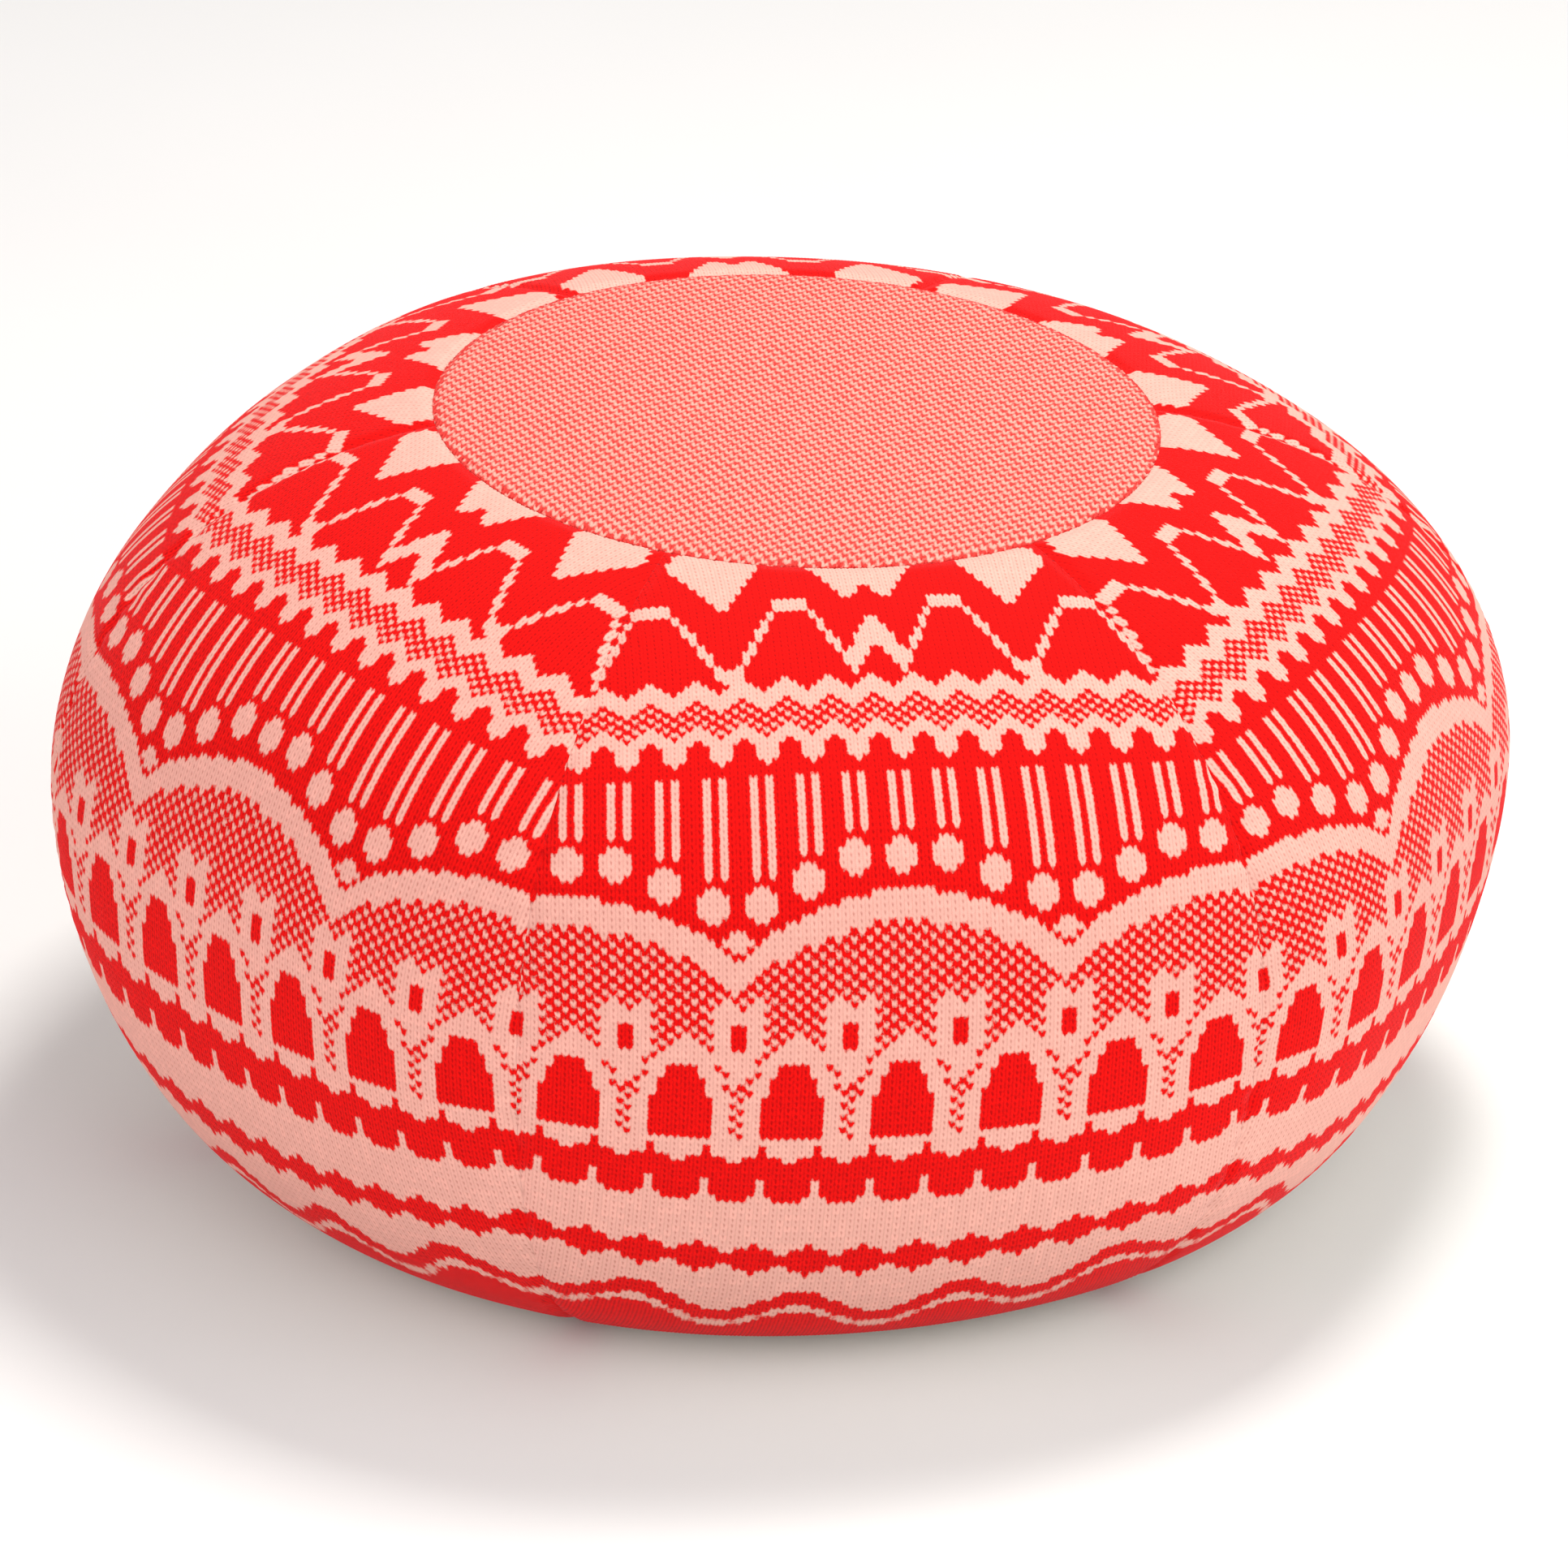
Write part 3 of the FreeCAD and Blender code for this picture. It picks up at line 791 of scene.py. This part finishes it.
ring_low, ring_high = (corner.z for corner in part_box("top_ring_seam"))
ring_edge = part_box("top_ring_seam")[1].x
top_seam = sew_ring_seam("top_seam_allowance", RIM_RADIUS, ring_edge - RIM_RADIUS, ring_low, ring_high,
                         0.0, 2 * math.pi)
SEWN_LAP = 0.0018
ZIP_START = math.radians(15)
ZIP_SWEEP = math.radians(150)
lip_low, lip_high = (corner.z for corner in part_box("base_ring_seam"))
base_seam = sew_ring_seam("base_seam_band", ZIP_RADIUS, GORE_LIP - ZIP_RADIUS + SEWN_LAP, lip_low, lip_high,
                          ZIP_START + ZIP_SWEEP, 2 * math.pi - ZIP_SWEEP)
print("seam bands:", len(gore_seams) + 2)

# %% [markdown]
# ## The zip
#
# A nylon zip has no separate teeth. Each side is one thread of nylon, wound into a flattened coil and
# sewn to a woven tape. The coils are drawn as that spiral, one turn every millimetre and a half, and the
# tapes with a slightly thicker edge. Stops, slider and pull are small castings that already have their
# right shapes in the frame, and get their enamel below.

# %% Nylon coils
TURN_OF_COIL = 0.0015
COIL_WIDTH = 0.0012
NYLON = 0.00027
POINTS_PER_TURN = 10
STOP_TURN = math.radians(0.7)
COIL_GAP = 0.0006
TAPE_STEPS = 300
tape_section = np.array([(-1, 1), (-0.85, 0.85), (0.85, 0.85), (1, 1),
                         (1, 0), (0.85, 0.15), (-0.85, 0.15), (-1, 0)])
tape_across, tape_up = tape_section.T


def wind_coil(node, name):
    """Flattened spiral that fills the box of its CAD band."""
    low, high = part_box(node)
    middle, reach = high.y - COIL_WIDTH / 2, COIL_WIDTH / 2 - NYLON
    level, rise = (low.z + high.z) / 2, (high.z - low.z) / 2 - NYLON
    sweep = ZIP_SWEEP - 2 * STOP_TURN
    turns = int(middle * sweep / TURN_OF_COIL)
    wind = np.linspace(0, 2 * math.pi * turns, turns * POINTS_PER_TURN)
    azimuth = ZIP_START + STOP_TURN + sweep * wind / wind[-1]
    points = ring_points(middle + reach * np.cos(wind), azimuth, level + rise * np.sin(wind))
    thread = bpy.data.curves.new(name, "CURVE")
    thread.dimensions = "3D"
    thread.bevel_depth = NYLON
    thread.bevel_resolution = 0
    thread.use_fill_caps = True
    spline = thread.splines.new("POLY")
    spline.points.add(len(points) - 1)
    spline.points.foreach_set("co", np.column_stack([points, np.ones(len(points))]).ravel())
    holder = bpy.data.objects.new(name + "_path", thread)
    mesh = bpy.data.meshes.new_from_object(holder)
    bpy.data.objects.remove(holder)
    mesh.name = name
    mesh.polygons.foreach_set("use_smooth", np.ones(len(mesh.polygons), bool))
    return into_scene(name, mesh)


def weave_tape(node, name):
    """Woven tape with a slightly thicker selvage on each edge."""
    low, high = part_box(node)
    if high.y > ZIP_RADIUS:
        inner, outer = ZIP_RADIUS + COIL_GAP, high.y + SEWN_LAP
    else:
        inner, outer = BASE_LIP - SEWN_LAP, high.y
    azimuth = (ZIP_START + np.linspace(0, 1, TAPE_STEPS) * ZIP_SWEEP)[:, None]
    radius = (inner + outer) / 2 + (outer - inner) / 2 * tape_across
    points = ring_points(radius, azimuth, low.z + (high.z - low.z) * tape_up)
    return grid_piece(name, points[:, ::-1], columns_close=True, caps=True)


tapes = {"zip_tape_inner": weave_tape("zip_tape_inner", "zip_tape_base_side"),
         "zip_tape_outer": weave_tape("zip_tape_outer", "zip_tape_gore_side")}
coils = {node: wind_coil(node, name) for node, name in (("zip_chain_inner", "nylon_coil_inner"),
                                                        ("zip_chain_outer", "nylon_coil_outer"))}
print("coil faces:", [len(coil.data.polygons) for coil in coils.values()])

# %% [markdown]
# ## The lining bag, its filling and the label
#
# The bag is thin cotton, cut as two circles and one long side, so it gathers into shallow folds. Its
# outline is the cover's outline, eight millimetres deeper. The filling is loose fibre, lumpier than the
# cloth over it. The label is a folded tape sewn flat on the base panel; it is left blank.

# %% Layers turned about the axis
AROUND = 240
SIDE_STEPS = 36
FOLDS_START = 0.25
LINING_DEPTH = 0.008
COTTON = 0.0008
FILL_DEPTH = 0.0092
LINING_RIM = 0.142
LINING_INNER_LIP = ZIP_RADIUS - 0.018
LINING_OUTER_LIP = ZIP_RADIUS + 0.018
LINING_LIP_HEIGHT = 0.0145
INNER_RING = 0.07


def turned_piece(name, outline, closed, fold_size, fold_count):
    """A closed outline of (radius, height) turned about the axis, with soft folds that fade at the axis."""
    azimuth = np.linspace(0, 2 * math.pi, AROUND, endpoint=False)[None, :]
    radius = np.array([place[0] for place in outline])[:, None]
    height = np.array([place[1] for place in outline])[:, None]
    folds = np.sin(fold_count * azimuth + 9 * height)
    folds = folds + 0.6 * np.sin((fold_count * 2 - 3) * azimuth - 14 * height)
    reach = radius + fold_size * folds * np.clip(radius / FOLDS_START, 0, 1) ** 2
    points = ring_points(reach, azimuth, height)
    return grid_piece(name, stuffed(points), rows_close=closed, columns_close=True)


def outline_points(radius, height):
    """Pairs of radius and height."""
    return list(zip(radius.tolist(), height.tolist()))


# %% Lining bag
def lining_sides():
    """Outer and inner line of the bag's side."""
    outer, inner = (outline_points(*side_outline(LINING_DEPTH + inside, LINING_RIM, LINING_OUTER_LIP,
                                                 LINING_LIP_HEIGHT + inside, SIDE_STEPS))
                    for inside in (0.0, COTTON))
    return outer + inner[::-1]


def lining_top_outline():
    """The bag's round top: a shallow dome."""
    middle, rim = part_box("lining_top")[1].z, side_outline(LINING_DEPTH, LINING_RIM, 0.2, 0.0, 3)[1][0]
    dome = [(LINING_RIM * step, middle - (middle - rim) * step * step) for step in np.linspace(0, 1, 12)]
    return dome + [(radius, height - COTTON) for radius, height in dome[::-1]]


def lining_bottom_outline():
    """The bag's base, lifted over the zip."""
    low = [(0.0, LINING_DEPTH), (INNER_RING, LINING_DEPTH), (LINING_INNER_LIP - GROOVE_RUN, LINING_DEPTH),
           (LINING_INNER_LIP, LINING_LIP_HEIGHT), (LINING_OUTER_LIP, LINING_LIP_HEIGHT)]
    return [(radius, height + COTTON) for radius, height in low] + low[::-1]


bag = {"lining_side": turned_piece("cotton_bag_side", lining_sides(), True, 0.0005, 30),
       "lining_top": turned_piece("cotton_bag_top", lining_top_outline(), False, 0.0, 30),
       "lining_bottom": turned_piece("cotton_bag_base", lining_bottom_outline(), False, 0.0, 30)}


# %% Filling, closing stitch and label
LOOPS = 24
POINTS_PER_LOOP = 12
THREAD = 0.00028
LOOP_REACH = 0.0008
LOOP_RISE = 0.0002
STITCH_IN_FROM_LIP = 0.0019
CLOSING_START = math.radians(20.5)
CLOSING_SWEEP = math.radians(39)
LABEL_STEPS = 14


def stuff_filling():
    """One closed, lumpy body of fibre."""
    groove = LINING_LIP_HEIGHT + FILL_DEPTH - LINING_DEPTH
    side = outline_points(*side_outline(FILL_DEPTH, LINING_RIM, LINING_OUTER_LIP, groove, 40))
    under = [(LINING_INNER_LIP, groove), (LINING_INNER_LIP - GROOVE_RUN, FILL_DEPTH),
             (INNER_RING, FILL_DEPTH), (0.0, FILL_DEPTH)]
    top = [(0.0, side[0][1]), (0.05, side[0][1]), (0.10, side[0][1])]
    return turned_piece("fibre_filling", top + side + under, False, 0.0004, 17)


def whip_stitches():
    """Slanting loops of thread that close the lining's seam by hand."""
    low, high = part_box("lining_closing_stitch")
    wind = np.linspace(0, 2 * math.pi * LOOPS, LOOPS * POINTS_PER_LOOP)[:, None]
    around = np.linspace(0, 2 * math.pi, 6, endpoint=False)
    middle = LINING_OUTER_LIP - STITCH_IN_FROM_LIP
    azimuth = CLOSING_START + CLOSING_SWEEP * wind / wind[-1] + THREAD * np.sin(around) / middle
    radius = middle + (LOOP_REACH + THREAD * np.cos(around)) * np.cos(wind)
    height = (low.z + high.z) / 2 + (LOOP_RISE + THREAD * np.cos(around)) * np.sin(wind)
    points = ring_points(radius, azimuth, height)
    return grid_piece("hand_closing_stitches", stuffed(points)[:, ::-1], columns_close=True, caps=True)


def fold_label():
    """Folded tape: two layers with a round fold at one end, slightly curled."""
    low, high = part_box("care_label")
    thickness = high.z - low.z
    steps = np.linspace(0, 1, LABEL_STEPS)
    length = high.y - low.y
    path = [(low.y + length * step, low.z + 0.1 * thickness) for step in steps]
    path += [(low.y + length * step, high.z - 0.12 * thickness * (1 - step)) for step in steps[::-1]]
    across = np.linspace(low.x, high.x, 9)
    points = [[(x, y, z) for y, z in path[::-1]] for x in across]
    return grid_piece("blank_label", np.array(points), columns_close=True, caps=True)


filling = stuff_filling()
closing_stitches = whip_stitches()
label = fold_label()
print("inside pieces:", len(bag) + 3)

# %% [markdown]
# ## Materials
#
# Wool yarn scatters light in all directions and has no gloss, so it is rough and has a sheen: the pale
# edge that fine loose hairs give to a felted surface seen from the side. The material mixes the two
# yarns by the value that the mesh stores, lets stray hairs of each reach over the other, gives each
# stitch its own tone, paints shade into the dips between the legs and onto the turned-in edges (in the
# pale yarn that darker colour is partly the red showing through from behind), and adds two sizes of
# noise for the matted fibres. Values that are the same all over, such as the sheen, are set directly on
# the shader.

# %% Helpers for node materials
def start_material(name, roughness):
    """Empty node material; returns it with its tree and shader."""
    material = bpy.data.materials.new(name)
    material.use_nodes = True
    shader = material.node_tree.nodes["Principled BSDF"]
    shader.inputs["Roughness"].default_value = roughness
    return material, material.node_tree, shader


def put(tree, kind, sockets, **settings):
    """One node. A socket value that is another node's output is linked, anything else is typed in."""
    node = tree.nodes.new(kind)
    for key, value in settings.items():
        setattr(node, key, value)
    for key, value in sockets.items():
        if isinstance(value, bpy.types.NodeSocket):
            tree.links.new(value, node.inputs[key])
        else:
            node.inputs[key].default_value = value
    return node


MIX_FACTOR, MIX_A, MIX_B, MIX_RESULT = 0, 6, 7, 2


def mix(tree, factor, first, second, blend="MIX"):
    """Colour between two colours."""
    sockets = {MIX_FACTOR: factor, MIX_A: first, MIX_B: second}
    return put(tree, "ShaderNodeMix", sockets, data_type="RGBA", blend_type=blend).outputs[MIX_RESULT]


def stretch(tree, value, low, high):
    """A value from 0..1 brought to low..high."""
    return put(tree, "ShaderNodeMapRange", {"Value": value, "To Min": low, "To Max": high}).outputs["Result"]


def noise(tree, scale, detail=3.0):
    """Grain in the object's own space, so it needs no unwrapping."""
    place = put(tree, "ShaderNodeTexCoord", {}).outputs["Object"]
    sockets = {"Vector": place, "Scale": scale, "Detail": detail}
    return put(tree, "ShaderNodeTexNoise", sockets).outputs["Fac"]


def calculate(tree, operation, first, second):
    """Sum or product of two values."""
    return put(tree, "ShaderNodeMath", {0: first, 1: second}, operation=operation).outputs["Value"]


def bump(tree, shader, height, distance, strength=1.0):
    """Fine relief on the shader's normal."""
    node = put(tree, "ShaderNodeBump", {"Height": height, "Distance": distance, "Strength": strength})
    tree.links.new(node.outputs["Normal"], shader.inputs["Normal"])


def attribute(tree, name):
    """A value stored in the mesh."""
    return put(tree, "ShaderNodeAttribute", {}, attribute_name=name).outputs["Fac"]


# %% Two-colour felted wool
RED_WOOL = (0.90, 0.003, 0.002, 1)
# Red darkened by painted shade, for the dips between the legs and the turned-in edges.
RED_IN_PAINTED_SHADE = (0.40, 0.000, 0.001, 1)
CHECK_RED = (0.80, 0.055, 0.045, 1)
CHECK_PALE = (0.92, 0.42, 0.34, 1)
PALE_WOOL = (0.93, 0.49, 0.405, 1)
# Pale yarn in its dips: partly the red yarn showing through from behind, partly painted shade.
PALE_SHOW_THROUGH_AND_SHADE = (0.55, 0.16, 0.13, 1)
WOOL_SHEEN = 0.20
SHEEN_COLOUR = (1.0, 0.45, 0.50, 1)
MATTED = 700.0
HAIRS = 2600.0
STRAY_HAIRS = 0.45


def felted_wool(name, red, pale):
    """Knitted lambswool in two colours, washed until the stitches close."""
    material, tree, shader = start_material(name, 0.92)
    matted = noise(tree, MATTED)
    strayed = stretch(tree, matted, -STRAY_HAIRS, STRAY_HAIRS)
    covered = calculate(tree, "ADD", attribute(tree, "yarn"), strayed)
    border = {"Value": covered, "From Min": 0.3, "From Max": 0.7}
    yarn = put(tree, "ShaderNodeMapRange", border).outputs["Result"]
    hollow = stretch(tree, attribute(tree, "hollow"), -0.35, 0.75)
    hairs = noise(tree, HAIRS, 2.0)
    # Painted shade: the red darkens in the dips between the legs and at the turned-in edges, mixed with the
    # random tone of the matted fibres.
    painted_shade_and_felt = calculate(tree, "ADD", hollow, matted)
    red_side = mix(tree, stretch(tree, painted_shade_and_felt, -0.55, 0.75), red, RED_IN_PAINTED_SHADE)
    # In the dips the pale yarn darkens towards a deeper pink: partly the red showing through, partly painted
    # shade.
    pale_side = mix(tree, hollow, pale, PALE_SHOW_THROUGH_AND_SHADE)
    colour = mix(tree, yarn, red_side, pale_side)
    tone = stretch(tree, attribute(tree, "shade"), 0.97, 1.03)
    colour = mix(tree, 1.0, colour, tone, "MULTIPLY")
    grain = stretch(tree, hairs, 0.88, 1.12)
    colour = mix(tree, 1.0, colour, grain, "MULTIPLY")
    tree.links.new(colour, shader.inputs["Base Color"])
    tree.links.new(stretch(tree, hairs, 0.85, 1.0), shader.inputs["Roughness"])
    shader.inputs["Sheen Weight"].default_value = WOOL_SHEEN
    shader.inputs["Sheen Roughness"].default_value = 0.28
    shader.inputs["Sheen Tint"].default_value = SHEEN_COLOUR
    shader.inputs["Specular IOR Level"].default_value = 0.15
    bump(tree, shader, hairs, 0.00025)
    return material


wool = felted_wool("two_colour_wool", RED_WOOL, PALE_WOOL)
for gore in gores:
    gore.data.materials.append(wool)
check_wool = felted_wool("small_check_wool", CHECK_RED, CHECK_PALE)
for panel in (crown, base):
    panel.data.materials.append(check_wool)

# %% [markdown]
# ## Finishes of the hidden pieces
#
# Cotton and tapes are woven: two sets of fine ribs cross each other. A wave texture along each direction
# gives the ribs, and their product gives the crossings. Overlock yarn is a fine slanting rib. Fibre
# filling is a cloud of soft noise with no gloss. Nylon has a soft gloss. The zip's castings are coated
# with red enamel, which is smooth and glossy but slightly uneven.

# %% Woven cloth
def ribs(tree, direction, pitch):
    """Fine parallel threads a given distance apart."""
    place = put(tree, "ShaderNodeTexCoord", {}).outputs["Object"]
    wave = {"Vector": place, "Scale": 0.314 / pitch, "Distortion": 0.6, "Detail": 1.0}
    return put(tree, "ShaderNodeTexWave", wave, bands_direction=direction).outputs["Fac"]


def woven(name, colour, shadow, pitch, directions, roughness=0.85):
    """Cloth of two crossing threads: colour on top, shadow between the threads."""
    material, tree, shader = start_material(name, roughness)
    first, second = (ribs(tree, direction, pitch) for direction in directions)
    crossing = calculate(tree, "MULTIPLY", first, second)
    slub = stretch(tree, noise(tree, 90.0), 0.90, 1.08)
    cloth = mix(tree, stretch(tree, crossing, 0.35, 1.0), shadow, colour)
    tree.links.new(mix(tree, 1.0, cloth, slub, "MULTIPLY"), shader.inputs["Base Color"])
    shader.inputs["Sheen Weight"].default_value = 0.1
    shader.inputs["Specular IOR Level"].default_value = 0.25
    bump(tree, shader, crossing, 0.00015)
    return material


cotton = woven("unbleached_cotton", (0.80, 0.74, 0.62, 1), (0.52, 0.46, 0.37, 1), 0.0007, "XZ")
red_tape = woven("red_zip_tape", (0.52, 0.015, 0.020, 1), (0.25, 0.006, 0.010, 1), 0.0005, ("DIAGONAL", "X"))
satin = woven("white_satin_tape", (0.86, 0.84, 0.80, 1), (0.66, 0.64, 0.60, 1), 0.0003, "XY", 0.45)
overlock = woven("red_overlock_yarn", (0.62, 0.012, 0.016, 1), (0.26, 0.005, 0.010, 1), 0.0009,
                 ("DIAGONAL", "Z"))


# %% Fibre, nylon and enamel
def soft_fibre():
    """White fibre filling."""
    material, tree, shader = start_material("white_fibre", 0.95)
    tufts = noise(tree, 60.0, 8.0)
    colour = mix(tree, stretch(tree, tufts, 0.2, 1.1), (0.60, 0.58, 0.54, 1), (0.90, 0.89, 0.86, 1))
    tree.links.new(colour, shader.inputs["Base Color"])
    shader.inputs["Specular IOR Level"].default_value = 0.1
    bump(tree, shader, tufts, 0.004)
    return material


def coated(name, colour, worn, grain, roughness_low, roughness_high, coat):
    """Smooth coloured surface: tone and gloss vary a little over it."""
    material, tree, shader = start_material(name, roughness_low)
    patches = noise(tree, grain, 4.0)
    tree.links.new(mix(tree, stretch(tree, patches, -0.4, 1.0), colour, worn), shader.inputs["Base Color"])
    tree.links.new(stretch(tree, patches, roughness_low, roughness_high), shader.inputs["Roughness"])
    shader.inputs["Coat Weight"].default_value = coat
    bump(tree, shader, patches, 0.00004)
    return material


fibre = soft_fibre()
nylon = coated("red_nylon", (0.50, 0.012, 0.016, 1), (0.36, 0.008, 0.012, 1), 900.0, 0.32, 0.48, 0.0)
enamel = coated("red_enamel", (0.42, 0.010, 0.014, 1), (0.28, 0.010, 0.012, 1), 350.0, 0.20, 0.36, 0.5)

# %% [markdown]
# ## Floor and light
#
# A plain pale floor and soft studio light. Most of the light comes from all round, which keeps the
# lower half of the cushion bright. A small lamp high up, a little behind and to the right, gives the
# short shadow that falls towards the front left. A large lamp in front fills it, and a weak pinkish one
# warms the left side. A strong red object also throws red light on a white floor; a studio picture has
# that taken out, so the knitted pieces are hidden from diffuse rays.

# %% Floor
FLOOR_SIZE = 14.0


def lay_floor():
    """Large plain sheet with a faint grain."""
    half = FLOOR_SIZE / 2
    corners = [(-half, -half, 0), (half, -half, 0), (half, half, 0), (-half, half, 0)]
    floor = mesh_piece("floor", corners, [(0, 1, 2, 3)])
    material, tree, shader = start_material("plain_floor", 0.9)
    grain = stretch(tree, noise(tree, 3.0), 0.86, 0.90)
    grey = {"Red": grain, "Green": grain, "Blue": grain}
    colour = put(tree, "ShaderNodeCombineColor", grey).outputs["Color"]
    tree.links.new(colour, shader.inputs["Base Color"])
    floor.data.materials.append(material)


lay_floor()

# %% Light
WORLD_STRENGTH = 0.46
LAMPS_AIM = Vector((0, 0, 0.15))


def lamp(name, power, size, place, colour):
    """Square soft lamp that looks at the middle of the cushion."""
    data = bpy.data.lights.new(name, "AREA")
    data.energy = power
    data.size = size
    data.color = colour
    light = into_scene(name, data)
    light.location = place
    light.rotation_euler = (Vector(place) - LAMPS_AIM).to_track_quat("Z", "Y").to_euler()


lamp("window_lamp", 40.0, 0.7, (0.55, 0.50, 2.4), (1.0, 0.97, 0.92))
lamp("front_lamp", 32.0, 2.4, (1.0, -2.5, 1.7), (1.0, 0.97, 0.95))
lamp("left_lamp", 16.0, 1.6, (-1.9, -0.9, 1.3), (1.0, 0.76, 0.78))
lamp("right_lamp", 10.0, 1.2, (1.7, -0.9, 1.3), (1.0, 0.98, 0.96))
world = bpy.data.worlds.new("studio")
bpy.context.scene.world = world
world.use_nodes = True
sky = world.node_tree.nodes["Background"]
sky.inputs["Color"].default_value = (1.0, 1.0, 1.0, 1)
sky.inputs["Strength"].default_value = WORLD_STRENGTH
bpy.context.scene.view_settings.view_transform = "Standard"

# %% [markdown]
# ## Attach the pieces
#
# Each piece rides on a body of the frame, and the CAD pieces that it stands for are hidden.

# %% Ride and replace
def dress(piece, body, slot, *nodes):
    """Attach a finished piece to its body and let it stand for its CAD pieces."""
    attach(piece, body)
    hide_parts(*nodes)


for piece in gores + [crown, base]:
    piece.visible_diffuse = False
for number, gore in enumerate(gores, 1):
    dress(gore, "cushion", "jacquard_knit", "gore_panel_%d" % number)
for panel, node in ((crown, "top_panel"), (base, "base_panel")):
    dress(panel, "cushion", "birdseye_knit", node)


def finish_hidden(piece, material, slot, *nodes):
    """Give a hidden piece its material and attach it."""
    piece.data.materials.clear()
    piece.data.materials.append(material)
    dress(piece, "cushion", slot, *nodes)


for number, seam in enumerate(gore_seams, 1):
    finish_hidden(seam, overlock, "seam_yarn", "gore_seam_%d" % number)
finish_hidden(top_seam, overlock, "seam_yarn", "top_ring_seam")
finish_hidden(base_seam, overlock, "seam_yarn", "base_ring_seam")
finish_hidden(closing_stitches, overlock, "seam_yarn", "lining_closing_stitch")
for node, tape in tapes.items():
    finish_hidden(tape, red_tape, "zip_tape", node)
for node, coil in coils.items():
    finish_hidden(coil, nylon, "zip_coil", node)
for node, cloth in bag.items():
    finish_hidden(cloth, cotton, "lining_cotton", node)
finish_hidden(filling, fibre, "fibre_fill", "filling")
finish_hidden(label, satin, "label_tape", "care_label")

# %% Castings of the zip
for node in ("zip_top_stops", "zip_bottom_stop", "zip_slider_body", "zip_pull_tab"):
    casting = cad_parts[node]
    casting.data.materials.clear()
    casting.data.materials.append(enamel)
